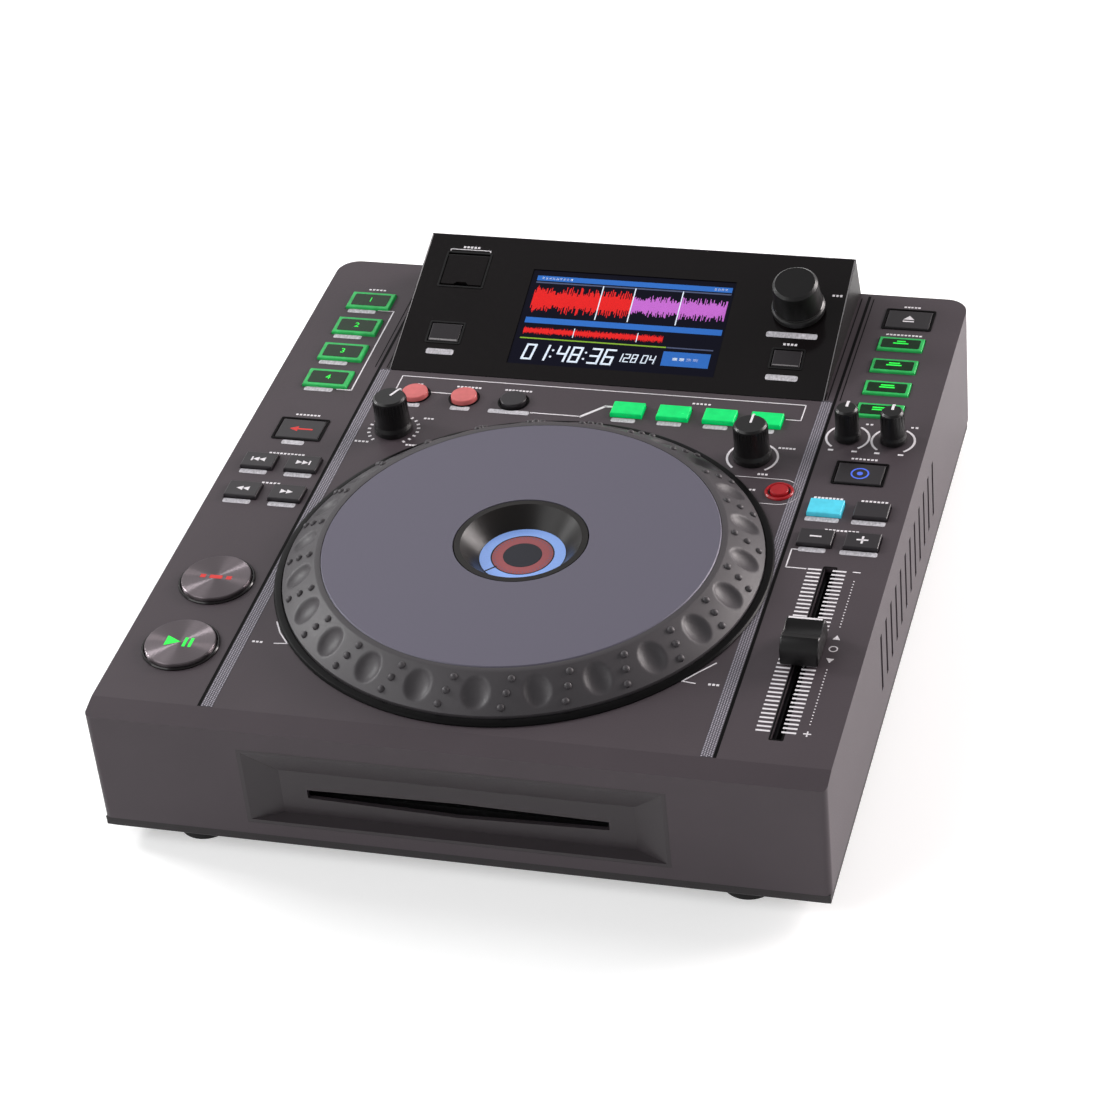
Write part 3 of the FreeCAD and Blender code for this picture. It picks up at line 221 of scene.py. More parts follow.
def moulded(name, base, roughness, grain=1.2, depth=0.05, patch=0.12, shine=0.35):
    """Moulded plastic or rubber. Grain is how many specks go into a millimetre."""
    finish = Finish(name, base, roughness, shine=shine)
    speck = finish.noise(grain / MM)
    cloud = finish.noise(28.0, detail=5.0)
    finish.feed("Base Color", finish.shade(cloud, 1 - patch, 1 + patch))
    finish.feed("Roughness", finish.between(speck, roughness - 0.08, roughness + 0.08))
    finish.bump(speck, depth)


# %% Plastics, rubbers and gloss
moulded("case_plastic", (68, 60, 65), 0.5, grain=1.6, depth=0.09)
moulded("tray_plastic", (44, 41, 43), 0.6, grain=1.6, depth=0.09)
moulded("slot_plastic", (56, 51, 54), 0.42, grain=1.4, depth=0.05)
moulded("rim_rubber", (68, 65, 68), 0.5, grain=1.0, depth=0.06, patch=0.1)
moulded("foot_rubber", (26, 25, 26), 0.75, grain=0.8, depth=0.12)
moulded("dish_black", (26, 23, 22), 0.34, grain=0.8, depth=0.01, shine=0.25)
moulded("ring_black", (6, 5, 6), 0.4, grain=0.8, depth=0.01, shine=0.12)
moulded("pod_plastic", (14, 12, 13), 0.42, grain=1.4, depth=0.04, shine=0.2)
moulded("button_dark", (44, 41, 44), 0.34, grain=2.0, depth=0.03)
moulded("knob_black", (21, 20, 21), 0.36, grain=1.4, depth=0.05, patch=0.2)
moulded("gloss_black", (20, 17, 18), 0.14, grain=0.5, depth=0.004, patch=0.2)
moulded("line_black", (6, 5, 6), 0.5, grain=2.0, depth=0.02, shine=0.08)
moulded("print_white", (228, 224, 228), 0.5, grain=3.0, depth=0.01, patch=0.05)
moulded("board_green", (20, 86, 52), 0.35, grain=0.6, depth=0.05)
print("materials so far:", len(bpy.data.materials))

# %% [markdown]
# ## Metals
#
# The jog plate is painted metal with faint turned rings, and the two large round buttons are
# spun dark metal, whose glint runs out from the middle like a bow tie. The rings follow the
# distance from a centre, and the bow tie comes from an anisotropic shader. Its tangent runs
# round that centre, and a quarter turn stretches the glint across the tool marks, as on real
# spun metal. A painted bow tie would not move with the light, so the shader does it.

# %% Turned and spun metals
JOG_CENTRE = (0.0, 119.8)
CUE_CENTRE = (-127.2, 91.3)
PLAY_CENTRE = (-127.2, 47.0)


def from_centre(finish, centre):
    """The place measured from a point of the deck."""
    shift = -spot(DECK, *centre).translation
    node = finish.add("ShaderNodeVectorMath", [(0, finish.place), (1, shift)], operation="ADD")
    return node.outputs["Vector"]


def rings_round(finish, centre, pitch):
    """A noise that changes only with the distance from the centre."""
    away = from_centre(finish, centre)
    reach = finish.add("ShaderNodeVectorMath", [(0, away)], operation="LENGTH").outputs["Value"]
    line = finish.add("ShaderNodeCombineXYZ", [("X", reach)])
    return finish.noise(1 / (pitch * MM), source=line.outputs["Vector"])


def turned_paint(name, base, roughness):
    finish = Finish(name, base, roughness, metallic=0.15)
    rings = rings_round(finish, JOG_CENTRE, 0.5)
    speck = finish.noise(2.2 / MM)
    finish.feed("Base Color", finish.shade(rings, 0.95, 1.05))
    finish.feed("Roughness", finish.between(speck, roughness - 0.06, roughness + 0.06))
    finish.bump(speck, 0.03, 0.3)


def spun_metal(name, base, centre):
    finish = Finish(name, base, 0.34, metallic=1.0)
    away = from_centre(finish, centre)
    upward = DECK.to_3x3() @ Vector((0, 0, 1))
    round_it = finish.add("ShaderNodeVectorMath", [(0, away), (1, upward)],
                          operation="CROSS_PRODUCT")
    finish.feed("Tangent", round_it.outputs["Vector"])
    finish.set("Anisotropic", 1.0)
    finish.set("Anisotropic Rotation", 0.25)
    rings = rings_round(finish, centre, 0.35)
    finish.feed("Base Color", finish.shade(rings, 0.75, 1.25))


def bare_metal(name, base, roughness):
    finish = Finish(name, base, roughness, metallic=1.0)
    drawn = finish.noise(0.9 / MM)
    finish.feed("Roughness", finish.between(drawn, roughness - 0.1, roughness + 0.1))
    finish.bump(drawn, 0.01, 0.3)


turned_paint("jog_paint", (98, 95, 109), 0.5)
spun_metal("cue_metal", (116, 108, 112), CUE_CENTRE)
spun_metal("play_metal", (122, 114, 118), PLAY_CENTRE)
bare_metal("zinc", (178, 178, 182), 0.35)
# A bright metal for thin strips that stand in for highlights on edges: painted highlight.
bare_metal("painted_highlight", (200, 196, 198), 0.3)

# %% [markdown]
# ## Things that glow
#
# Lit buttons are clear coloured plastic over a lamp: brighter in the middle and uneven near the
# edge. A little emission on top of the coloured plastic, made uneven by a noise, gives the glow, and
# keeps the highlight of the plastic. The pictures on the two screens are the same idea with a glassy
# surface.

# %% Lit plastics and screen inks
def lit(name, base, glow, roughness=0.25, patch=0.18, grain=0.25):
    finish = Finish(name, base, roughness, shine=0.25)
    cloud = finish.noise(grain / MM, detail=2.0)
    tint = finish.shade(cloud, 1 - patch, 1 + patch)
    finish.feed("Base Color", tint)
    finish.feed("Emission Color", tint)
    finish.set("Emission Strength", glow)
    finish.feed("Roughness", finish.between(cloud, roughness - 0.05, roughness + 0.05))


lit("lit_green", (2, 198, 100), 0.38)
lit("rim_green", (44, 166, 84), 0.2, patch=0.35)
lit("deep_green", (8, 36, 14), 0.3, patch=0.6)
lit("lit_red", (186, 96, 96), 0.25)
lit("dome_red", (150, 28, 34), 0.2)
lit("lit_blue", (74, 184, 206), 0.35)
lit("symbol_red", (178, 44, 42), 0.5)
lit("symbol_blue", (70, 96, 200), 0.6)
lit("symbol_green", (40, 220, 70), 0.6)
for name, base, glow in (
        ("screen_black", (8, 8, 24), 0.2), ("screen_blue", (42, 94, 168), 0.5),
        ("screen_white", (200, 210, 222), 0.5), ("screen_red", (206, 34, 34), 0.4),
        ("screen_violet", (178, 98, 188), 0.4), ("screen_green", (120, 158, 48), 0.4),
        ("screen_grey", (70, 78, 104), 0.4), ("ring_blue", (118, 148, 206), 0.5),
        ("ring_red", (134, 66, 70), 0.35)):
    lit(name, base, glow, roughness=0.12, patch=0.1, grain=1.5)
print("materials:", len(bpy.data.materials))

# %% [markdown]
# ## Label plates
#
# The little grey label plates carry rows of marks too small to read. They are a pattern in the
# material, because meshes so small would add nothing that the eye can see.

# %% Label plate
def label_plate(name, base):
    finish = Finish(name, base, 0.4)
    stretched = finish.add("ShaderNodeMapping", [
        ("Vector", finish.place), ("Scale", (1.0, 0.55, 1.0))])
    marks = finish.noise(1.1 / MM, detail=1.0, source=stretched.outputs["Vector"])
    finish.feed("Base Color", finish.shade(marks, 0.4, 1.3))
    finish.feed("Roughness", finish.between(marks, 0.3, 0.55))


moulded("strip_grey", (72, 69, 76), 0.45, grain=1.6, depth=0.03)
moulded("strip_dots", (168, 163, 174), 0.4, grain=1.6, depth=0.01)
label_plate("label_grey", (206, 203, 209))

# %% [markdown]
# ## Paint the CAD nodes
#
# Where the CAD shape is right it stays, and only takes a better finish. That keeps the look
# and the real part the same shape, which a rebuilt copy might not.

# %% Assign finishes
def paint(look, *names):
    for name in names:
        node = nodes[name]
        if not node.material_slots:
            node.data.materials.append(LOOKS[look])
        for slot in node.material_slots:
            slot.material = LOOKS[look]


DARK_BUTTONS = [name + "_button" for name in (
    "reverse", "track_back", "track_forward", "search_back", "search_forward", "eject",
    "jog_mode", "tap", "bend_down", "bend_up", "reloop", "shift", "back")]
NUMBERS = ("1", "2", "3", "4")
paint("case_plastic", "upper_case")
paint("tray_plastic", "lower_case")
paint("slot_plastic", "slot_bezel")
paint("dish_black", "jog_display")
paint("gloss_black", "display_bezel", "usb_flap", "power_rocker", "mains_inlet", "rear_sockets")
paint("foot_rubber", "feet", "loading_roller")
paint("jog_paint", "jog_plate")
paint("button_dark", "fader_track", "disc_spindle", *DARK_BUTTONS)
paint("knob_black", "touch_knob", "filter_knob", "trim_knob_inner", "trim_knob_outer",
      "browse_knob")
for number in NUMBERS:
    paint("rim_green", "hot_cue_button_" + number, "source_button_" + number)
    paint("lit_green", "auto_loop_button_" + number)
paint("lit_red", "loop_in_button", "loop_out_button")
paint("dome_red", "slip_button")
paint("lit_blue", "key_lock_button")
paint("cue_metal", "cue_button")
paint("play_metal", "play_button")
paint("screen_black", "lcd_module")
paint("zinc", "usb_socket", "disc_drive", "case_screws", "browse_shaft")
paint("board_green", "main_board", "power_supply", "control_boards")

# %% [markdown]
# ## Printed shapes
#
# A print is a film of ink a few hundredths of a millimetre thick. A decal image would blur,
# so each mark is a very thin closed plate. One small class gathers bars, lines, arcs and
# outlines of one colour on one face, and turns them into one mesh.

# %% A class that prints
FILM = 0.07
SUNK = 0.04


def finish_mesh(shape, name):
    """Merges doubles, turns the faces outwards and returns a plain mesh."""
    bmesh.ops.remove_doubles(shape, verts=shape.verts, dist=1e-7)
    bmesh.ops.recalc_face_normals(shape, faces=shape.faces)
    mesh = bpy.data.meshes.new(name)
    shape.to_mesh(mesh)
    shape.free()
    return mesh


def add_piece(name, mesh, look, body="casing", smooth=None):
    """Makes the mesh a piece that rides on a body. Smooth is the sharpest angle to smooth."""
    piece = bpy.data.objects.new(name, mesh)
    bpy.context.scene.collection.objects.link(piece)
    mesh.materials.clear()
    mesh.materials.append(LOOKS[look])
    if smooth is not None:
        mesh.shade_smooth()
        mesh.set_sharp_from_angle(angle=math.radians(smooth))
    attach(piece, body)
    print(name, len(mesh.polygons), "faces")
    return piece


def round_points(x, y, radius, start=0.0, end=360.0, steps=32):
    turns = [math.radians(start + (end - start) * step / steps) for step in range(steps + 1)]
    return [(x + radius * math.cos(turn), y + radius * math.sin(turn)) for turn in turns]


def rounded_box(x, y, width, length, corner, steps=4):
    points = []
    for turn, side_x, side_y in ((0, 1, 1), (90, -1, 1), (180, -1, -1), (270, 1, -1)):
        middle_x = x + side_x * (width / 2 - corner)
        middle_y = y + side_y * (length / 2 - corner)
        points += round_points(middle_x, middle_y, corner, turn, turn + 90, steps)
    return points


class Print:
    """Thin plates of one colour on one face, from low to high over it."""

    def __init__(self, face, low=-SUNK, high=FILM):
        self.face, self.low, self.high = face, low, high
        self.shape = bmesh.new()

    def corner(self, point, up):
        return self.shape.verts.new(self.face @ (Vector((point[0], point[1], up)) * MM))

    def polygon(self, points):
        low = [self.corner(point, self.low) for point in points]
        high = [self.corner(point, self.high) for point in points]
        self.shape.faces.new(low[::-1])
        self.shape.faces.new(high)
        self.wall(low, high)

    def wall(self, low, high):
        for index in range(len(low)):
            after = (index + 1) % len(low)
            self.shape.faces.new((low[index], low[after], high[after], high[index]))

    def frame(self, outside, inside):
        """A plate between two outlines that have as many points as each other."""
        loops = [[self.corner(point, up) for point in points]
                 for points in (outside, inside) for up in (self.low, self.high)]
        out_low, out_high, in_low, in_high = loops
        self.wall(out_low, out_high)
        self.wall(in_high, in_low)
        self.wall(in_low, out_low)
        self.wall(out_high, in_high)

    def bar(self, x, y, width, length):
        self.polygon([(x + side_x * width / 2, y + side_y * length / 2)
                      for side_x, side_y in ((-1, -1), (1, -1), (1, 1), (-1, 1))])

    def dot(self, x, y, radius, steps=24):
        self.polygon(round_points(x, y, radius, steps=steps)[:-1])

    def ring(self, x, y, radius, width, steps=48):
        self.frame(round_points(x, y, radius, steps=steps)[:-1],
                   round_points(x, y, radius - width, steps=steps)[:-1])

    def arc(self, x, y, radius, width, start, end, steps=40):
        outer = round_points(x, y, radius, start, end, steps)
        inner = round_points(x, y, radius - width, start, end, steps)
        self.polygon(outer + inner[::-1])

    def line(self, points, width):
        for start, end in zip(points, points[1:]):
            start, end = Vector(start), Vector(end)
            along = (end - start).normalized() * width / 2
            aside = Vector((-along.y, along.x))
            start, end = start - along, end + along
            self.polygon([start + aside, start - aside, end - aside, end + aside])

    def pill(self, x, y, width, length):
        self.polygon(rounded_box(x, y, width, length, min(width, length) * 0.3))

    def triangle(self, x, y, size, pointing):
        """Points to the right if pointing is 1, to the left if it is -1."""
        back = x - pointing * size / 2
        self.polygon([(back, y - size / 2), (x + pointing * size / 2, y), (back, y + size / 2)])

    def row(self, x, y, count, pitch, width, length):
        """Bars side by side about x, in place of a printed word."""
        for index in range(count):
            self.bar(x + (index - (count - 1) / 2) * pitch, y, width, length)

    def mesh(self, name):
        return finish_mesh(self.shape, name)

    def done(self, name, look, body="casing"):
        add_piece(name, self.mesh(name), look, body)


def printed(name, look, face, shapes, body="casing", low=-SUNK, high=FILM):
    """A piece printed from a list of shapes: each is the name of a Print method and its values."""
    ink = Print(face, low, high)
    for kind, *values in shapes:
        getattr(ink, kind)(*values)
    ink.done(name, look, body)


# %% [markdown]
# ## Pieces that repeat
#
# Tick marks, dots, ribs on a knob, bumps on the rim and the bars of a sound wave are one
# small shape many times over. Geometry Nodes place them from a count, a radius and a step,
# so a change of one number changes them all. Two trees are enough: one along a circle and
# one along a row.

# %% Start and end of a tree
def new_tree(name, inputs):
    tree = bpy.data.node_groups.new(name, "GeometryNodeTree")
    for label, kind in inputs:
        tree.interface.new_socket(label, in_out="INPUT", socket_type="NodeSocket" + kind)
    tree.interface.new_socket("Geometry", in_out="OUTPUT", socket_type="NodeSocketGeometry")
    return tree, tree.nodes.new("NodeGroupInput").outputs


def end_tree(tree, given, points, rotation, scale):
    """Puts the piece on the points, makes it real and gives it its material."""
    piece = add_node(tree, "GeometryNodeObjectInfo", [("Object", given["Piece"])])
    put = add_node(tree, "GeometryNodeInstanceOnPoints", [
        ("Points", points), ("Instance", piece.outputs["Geometry"]), ("Rotation", rotation),
        ("Scale", scale)])
    real = add_node(tree, "GeometryNodeRealizeInstances", [("Geometry", put.outputs["Instances"])])
    look = add_node(tree, "GeometryNodeSetMaterial", [
        ("Geometry", real.outputs["Geometry"]), ("Material", given["Material"])])
    add_node(tree, "NodeGroupOutput", [("Geometry", look.outputs["Geometry"])])


# %% The tree that goes round
def circle_tree():
    tree, given = new_tree("pieces_round", [
        ("Piece", "Object"), ("Count", "Int"), ("Radius", "Float"), ("Start", "Float"),
        ("Step", "Float"), ("Material", "Material")])
    line = add_node(tree, "GeometryNodeMeshLine", [("Count", given["Count"])])
    index = add_node(tree, "GeometryNodeInputIndex").outputs["Index"]
    turn = add_node(tree, "ShaderNodeMath", [(0, index), (1, given["Step"]), (2, given["Start"])],
                    operation="MULTIPLY_ADD").outputs["Value"]
    sides = []
    for kind in ("COSINE", "SINE"):
        wave = add_node(tree, "ShaderNodeMath", [(0, turn)], operation=kind).outputs["Value"]
        side = add_node(tree, "ShaderNodeMath", [(0, wave), (1, given["Radius"])],
                        operation="MULTIPLY")
        sides.append(side.outputs["Value"])
    place = add_node(tree, "ShaderNodeCombineXYZ", [("X", sides[0]), ("Y", sides[1])])
    moved = add_node(tree, "GeometryNodeSetPosition", [
        ("Geometry", line.outputs["Mesh"]), ("Position", place.outputs["Vector"])])
    spin = add_node(tree, "ShaderNodeCombineXYZ", [("Z", turn)])
    end_tree(tree, given, moved.outputs["Geometry"], spin.outputs["Vector"], (1, 1, 1))
    return tree


# %% The tree that goes along a row
def row_tree():
    tree, given = new_tree("pieces_in_row", [
        ("Piece", "Object"), ("Count", "Int"), ("Offset", "Vector"), ("Least", "Float"),
        ("Seed", "Int"), ("Material", "Material")])
    line = add_node(tree, "GeometryNodeMeshLine", [
        ("Count", given["Count"]), ("Offset", given["Offset"])])
    chance = add_node(tree, "FunctionNodeRandomValue", [("Seed", given["Seed"])])
    numbers = [socket for socket in chance.inputs if socket.type == "VALUE"]
    tree.links.new(given["Least"], numbers[0])
    numbers[1].default_value = 1.0
    height = [socket for socket in chance.outputs if socket.type == "VALUE"][0]
    scale = add_node(tree, "ShaderNodeCombineXYZ", [("X", 1.0), ("Y", height), ("Z", 1.0)])
    end_tree(tree, given, line.outputs["Mesh"], (0, 0, 0), scale.outputs["Vector"])
    return tree


# %% Use of the trees
CIRCLE_TREE = circle_tree()
ROW_TREE = row_tree()


def repeat(tree, mesh, place, look, **values):
    """The mesh, repeated by the tree and moved to its place, as a plain mesh."""
    scene = bpy.context.scene.collection
    piece = bpy.data.objects.new("pattern", mesh)
    host = bpy.data.objects.new("host", bpy.data.meshes.new("host"))
    scene.objects.link(piece)
    scene.objects.link(host)
    modifier = host.modifiers.new("repeat", "NODES")
    modifier.node_group = tree
    values.update(Piece=piece, Material=LOOKS[look])
    for item in tree.interface.items_tree:
        if item.in_out == "INPUT":
            modifier[item.identifier] = values[item.name]
    seen = host.evaluated_get(bpy.context.evaluated_depsgraph_get())
    result = bpy.data.meshes.new_from_object(seen)
    bpy.data.objects.remove(host)
    bpy.data.objects.remove(piece)
    result.transform(place)
    return result


def circle(mesh, place, look, count, radius, start=0.0, step=None):
    """The mesh, repeated round the place, over the full circle if no step is given."""
    return repeat(CIRCLE_TREE, mesh, place, look, Count=count, Radius=radius * MM, Start=start,
                  Step=step or 2 * math.pi / count)


def row(mesh, place, look, count, offset, least=1.0, seed=0):
    """The mesh, repeated along the offset, each one from least to 1 times as long."""
    return repeat(ROW_TREE, mesh, place, look, Count=count, Offset=Vector(offset) * MM,
                  Least=least, Seed=seed)


def merge(name, meshes):
    """Several meshes of one material as one."""
    shape = bmesh.new()
    for mesh in meshes:
        shape.from_mesh(mesh)
    joined = bpy.data.meshes.new(name)
    shape.to_mesh(joined)
    shape.free()
    return joined


# %% [markdown]
# ## Small shapes to repeat
#
# Each repeated shape is drawn once, at the origin: a tick, a dot and a dome. They have few
# faces, because there are many of them.

# %% Tick, dot and dome
def tick_mesh(width, length, low=-SUNK, high=FILM):
    flat = Print(Matrix.Identity(4), low, high)
    flat.bar(0, 0, width, length)
    return flat.mesh("tick")


def dot_mesh(radius):
    flat = Print(Matrix.Identity(4))
    flat.dot(0, 0, radius, steps=10)
    return flat.mesh("dot")


def dome_mesh(radius, height, tilt):
    """A low dome whose foot is sunk in a slope that falls outwards by the tilt."""
    shape = bmesh.new()
    bmesh.ops.create_uvsphere(shape, u_segments=12, v_segments=8, radius=radius * MM)
    bmesh.ops.scale(shape, vec=(1, 1, height / radius), verts=shape.verts)
    bmesh.ops.rotate(shape, cent=(0, 0, 0), matrix=Matrix.Rotation(tilt, 3, "Y"), verts=shape.verts)
    return finish_mesh(shape, "dome")


# %% [markdown]
# ## Turned pieces
#
# Rings and rims are turned on a lathe, so we spin a closed outline round an axis. Writing the
# rings of points ourselves, instead of using the Screw modifier, lets the next step press
# finger dimples into the surface while it is made.

# %% A lathe
def lathe(profile, place, steps=192, press=None):
    """Spins the closed outline of (radius, height). Press says how deep each point is sunk."""
    shape = bmesh.new()
    rings = []
    for step in range(steps):
        turn = 2 * math.pi * step / steps
        ring = []
        for radius, height in profile:
            sink_r, sink_h = press(radius, height, turn) if press else (0.0, 0.0)
            radius, height = radius - sink_r, height - sink_h
            point = Vector((radius * math.cos(turn), radius * math.sin(turn), height)) * MM
            ring.append(shape.verts.new(place @ point))
        rings.append(ring)
    count = len(profile)
    for step in range(steps):
        ring, after = rings[step], rings[(step + 1) % steps]
        for index in range(count):
            nearby = (index + 1) % count
            shape.faces.new((ring[index], ring[nearby], after[nearby], after[index]))
    return finish_mesh(shape, "turned")


# %% [markdown]
# ## The jog wheel's rim
#
# The rubber rim has 24 oval finger dimples, and three small bumps between each two of them.
# Cutting the ovals with booleans would leave sharp, broken edges. Here every point of the slope
# is sunk by a smooth bowl function, so the dimples have the soft lip of moulded rubber.

# %% Rim with dimples
JOG = spot(DECK, *JOG_CENTRE)
RIM_FOOT = (101.5, 2.6)
RIM_TOP = (86.4, 13.2)
DIMPLES = 24
DIMPLE_HALF = 5.6
DIMPLE_REACH = 6.9
DIMPLE_DEPTH = 2.1
SLOPE_STEPS = 30
slope_turn = math.atan2(RIM_TOP[1] - RIM_FOOT[1], RIM_FOOT[0] - RIM_TOP[0])
DIMPLE_PHASE = math.radians(4.0)


def on_slope(share):
    """A point of the rim's slope, from 0 at its foot to 1 at its top, slightly crowned."""
    crown = 0.5 * math.sin(math.pi * share)
    return (RIM_FOOT[0] + (RIM_TOP[0] - RIM_FOOT[0]) * share + crown * math.sin(slope_turn),
            RIM_FOOT[1] + (RIM_TOP[1] - RIM_FOOT[1]) * share + crown * math.cos(slope_turn))


def dimple(radius, height, turn):
    if height < RIM_FOOT[1] or radius < RIM_TOP[0]:
        return 0.0, 0.0
    middle = (RIM_FOOT[0] + RIM_TOP[0]) / 2
    pitch = 2 * math.pi / DIMPLES
    aside = ((turn - DIMPLE_PHASE + pitch / 2) % pitch - pitch / 2) * middle
    along = (radius - middle) / math.cos(slope_turn)
    away = math.hypot(aside / DIMPLE_HALF, along / DIMPLE_REACH)
    if away >= 1:
        return 0.0, 0.0
    bowl = DIMPLE_DEPTH * (1 - away ** 2.4) ** 0.9
    return bowl * math.sin(slope_turn), bowl * math.cos(slope_turn)


def rim_outline():
    slope = [on_slope(step / SLOPE_STEPS) for step in range(SLOPE_STEPS + 1)]
    hub_side = [(84.2, 13.2), (84.2, 11.3), (81.0, 11.3), (81.0, 5.5), (35.0, 5.5),
                (35.0, 11.3), (31.0, 11.3), (31.0, -8.5), (35.0, -8.5), (35.0, 3.0),
                (86.4, 3.0), (86.4, 0.6), (101.0, 0.6), (101.5, 1.0)]
    return slope + hub_side


RIM_STEPS = 720
rim = add_piece("rim_rubber_ring", lathe(rim_outline(), JOG, RIM_STEPS, dimple), "rim_rubber",
                "jog_wheel", smooth=40)
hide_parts("jog_rim")

# %% Bumps between the dimples
BUMP_RADIUS = 1.6
BUMP_HEIGHT = 1.25
BUMP_SHARES = (0.18, 0.5, 0.82)
BUMP_LEAN = math.radians(1.3)


def rim_bumps():
    rings = []
    dome = dome_mesh(BUMP_RADIUS, BUMP_HEIGHT, slope_turn)
    for index, share in enumerate(BUMP_SHARES):
        radius, height = on_slope(share)
        start = DIMPLE_PHASE + math.pi / DIMPLES + (index - 1) * BUMP_LEAN
        rings.append(circle(dome, spot(JOG, 0, 0, height), "rim_rubber", DIMPLES, radius, start))
    return merge("rim_bumps", rings)


add_piece("rim_bumps", rim_bumps(), "rim_rubber", "jog_wheel", smooth=60)

# %% [markdown]
# ## What surrounds the wheel
#
# A glossy black ring lies on the deck round the wheel and catches a thin highlight. Inside
# the dish, the round display shows a blue ring, a dark red ring with fine ticks and a dark
# centre. They are thin rings of glowing ink on the floor of the dish.

# %% Surround and round display
SURROUND = [(105.4, -0.05), (105.4, 0.5), (104.9, 1.3), (104.0, 1.7), (102.2, 1.7), (101.9, 1.4),
            (101.9, -0.05)]
DISH_FLOOR = 5.5
add_piece("jog_surround", lathe(SURROUND, JOG), "ring_black", smooth=30)
DISPLAY_TICKS = 48
dish = spot(DECK, *JOG_CENTRE, up=DISH_FLOOR)
for name, radius, width in (("blue", 18.2, 4.9), ("red", 12.9, 4.6)):
    printed("round_display_" + name, "ring_" + name, dish,
            [("ring", 0, 0, radius, width, 72)])
printed("round_display_dark", "screen_black", dish, [
    ("ring", 0, 0, 13.5, 0.5, 72), ("dot", 0, 0, 8.2, 64),
    ("line", [(-9.2, -9.2), (-12.8, -12.8)], 0.8)], high=FILM * 1.5)
ticks = circle(tick_mesh(1.0, 0.25, high=FILM * 1.7), dish, "screen_grey", DISPLAY_TICKS, 11.9)
add_piece("round_display_ticks", ticks, "screen_grey")

# %% [markdown]
# ## Trim strips and grooves
#
# A dark groove parts each wing from the deck, with a dotted strip inside it. Beside the
# raised panel the wings have fine steps. All of these are thin plates on the deck, and the row
# tree sets the strips' dots in columns that are shifted against each other, as on a screen.

# %% Strips
DECK_START = 11.0
STRIP_END = 256.0
GROOVE_END = 343.0
STRIP_X = 103.1
STRIP_WIDTH = 5.0
GROOVE_X = 106.4
STEP_LINES = (103.0, 108.6)
STEP_MIDDLE, STEP_LENGTH = 299.0, 84.0
DOT_COLUMNS = 5
DOT_SIDE = 0.56
DOT_PITCH = 1.0
strip_length = STRIP_END - DECK_START
groove_length = GROOVE_END - DECK_START
strips = Print(DECK)
grooves = Print(DECK)
dot_meshes = []
dot = tick_mesh(DOT_SIDE, DOT_SIDE, low=0.0, high=FILM * 1.5)
for side in (-1, 1):
    strips.bar(side * STRIP_X, (DECK_START + STRIP_END) / 2, STRIP_WIDTH, strip_length)
    for column in range(DOT_COLUMNS):
        x = side * STRIP_X + (column - (DOT_COLUMNS - 1) / 2) * DOT_PITCH
        y = DECK_START + DOT_PITCH * (0.5 + column % 2 / 2)
        dot_meshes.append(row(dot, spot(DECK, x, y), "strip_dots", int(strip_length) - 1,
                              (0, DOT_PITCH, 0)))
    grooves.bar(side * GROOVE_X, (DECK_START + GROOVE_END) / 2, 1.3, groove_length)
    for step_x in STEP_LINES:
        grooves.bar(side * step_x, STEP_MIDDLE, 0.45, STEP_LENGTH)
strips.done("trim_strips", "strip_grey")
add_piece("trim_strip_dots", merge("dots", dot_meshes), "strip_dots")
grooves.done("deck_grooves", "line_black")

# %% Sides of the panel, and painted highlights along its edges
PANEL_HALF_WIDTH = 101.5
SIDE_SKIN = 0.2
SIDE_WALL = Matrix.Rotation(math.pi / 2, 4, "Y") @ Matrix.Rotation(math.pi / 2, 4, "Z")
PANEL_SIDE = [(256.3, 71.6), (336.5, 96.1), (344.9, 72.7)]
# The edges print holds a light bar along each side edge of the panel: painted highlights.
edges = Print(PANEL, low=-0.3, high=0.04)
for side, name in ((-1, "left"), (1, "right")):
    wall = Print(SIDE_WALL, side * PANEL_HALF_WIDTH, side * (PANEL_HALF_WIDTH + SIDE_SKIN))
    wall.polygon([(along - MIDDLE_FROM_FRONT, up) for along, up in PANEL_SIDE])
    wall.done("panel_side_" + name, "pod_plastic")
    edges.bar(side * (PANEL_HALF_WIDTH - 0.15), 41.8, 0.5, 83.4)
edges.done("panel_edges", "painted_highlight")

# %% [markdown]
# ## White print on the deck
#
# The deck carries brackets, arcs round the knobs and a scale beside the fader. Names and
# legends are left off, so their places have short plain bars.

# %% Lines and arcs
TOUCH = (-85.0, 209.4)
FILTER = (79.0, 209.4)
TRIM_INNER = (117.3, 229.6)
TRIM_OUTER = (137.4, 229.6)
SLIP = (95.8, 185.9)
SLIP_REACH = 9.2
HOT_X = -113.9
LINES = [
    (0.6, (-121.5, 303.4), (HOT_X, 303.4), (HOT_X, 237.0), (-120.7, 237.0)),
    (0.5, (-93.6, 240.0), (-93.6, 251.6), (94.4, 251.6), (94.4, 239.6), (87.9, 239.6)),
    (0.6, (-77.6, 240.2), (-66.5, 240.2)), (0.6, (-27.1, 230.2), (-3.9, 230.2)),
    (1.3, (-3.9, 230.2), (5.4, 239.4), (9.1, 239.4)),
    (0.6, (109.2, 134.3), (109.2, 146.9), (111.5, 146.9)), (0.6, (109.2, 134.3), (117.6, 134.3)),
    (0.6, (-92.3, 68.0), (-88.7, 61.3), (-83.4, 54.8)), (0.5, (-83.4, 54.8), (-88.8, 54.2)),
    (0.6, (94.4, 67.9), (88.7, 61.3), (83.4, 54.8)), (0.5, (83.4, 54.8), (88.8, 54.2))]
ARCS = [(*FILTER, 11.6, -50, 60), (*FILTER, 11.6, 120, 230),
        (*TRIM_INNER, 9.9, -52, 62), (*TRIM_INNER, 9.9, 118, 232),
        (*TRIM_OUTER, 9.9, -52, 62), (*TRIM_OUTER, 9.9, 118, 232)]
white = Print(DECK)
for width, *points in LINES:
    white.line(points, width)
for x, y, radius, start, end in ARCS:
    white.arc(x, y, radius, 1.0, start, end)
white.arc(*SLIP, SLIP_REACH, 0.3, -90, 90)
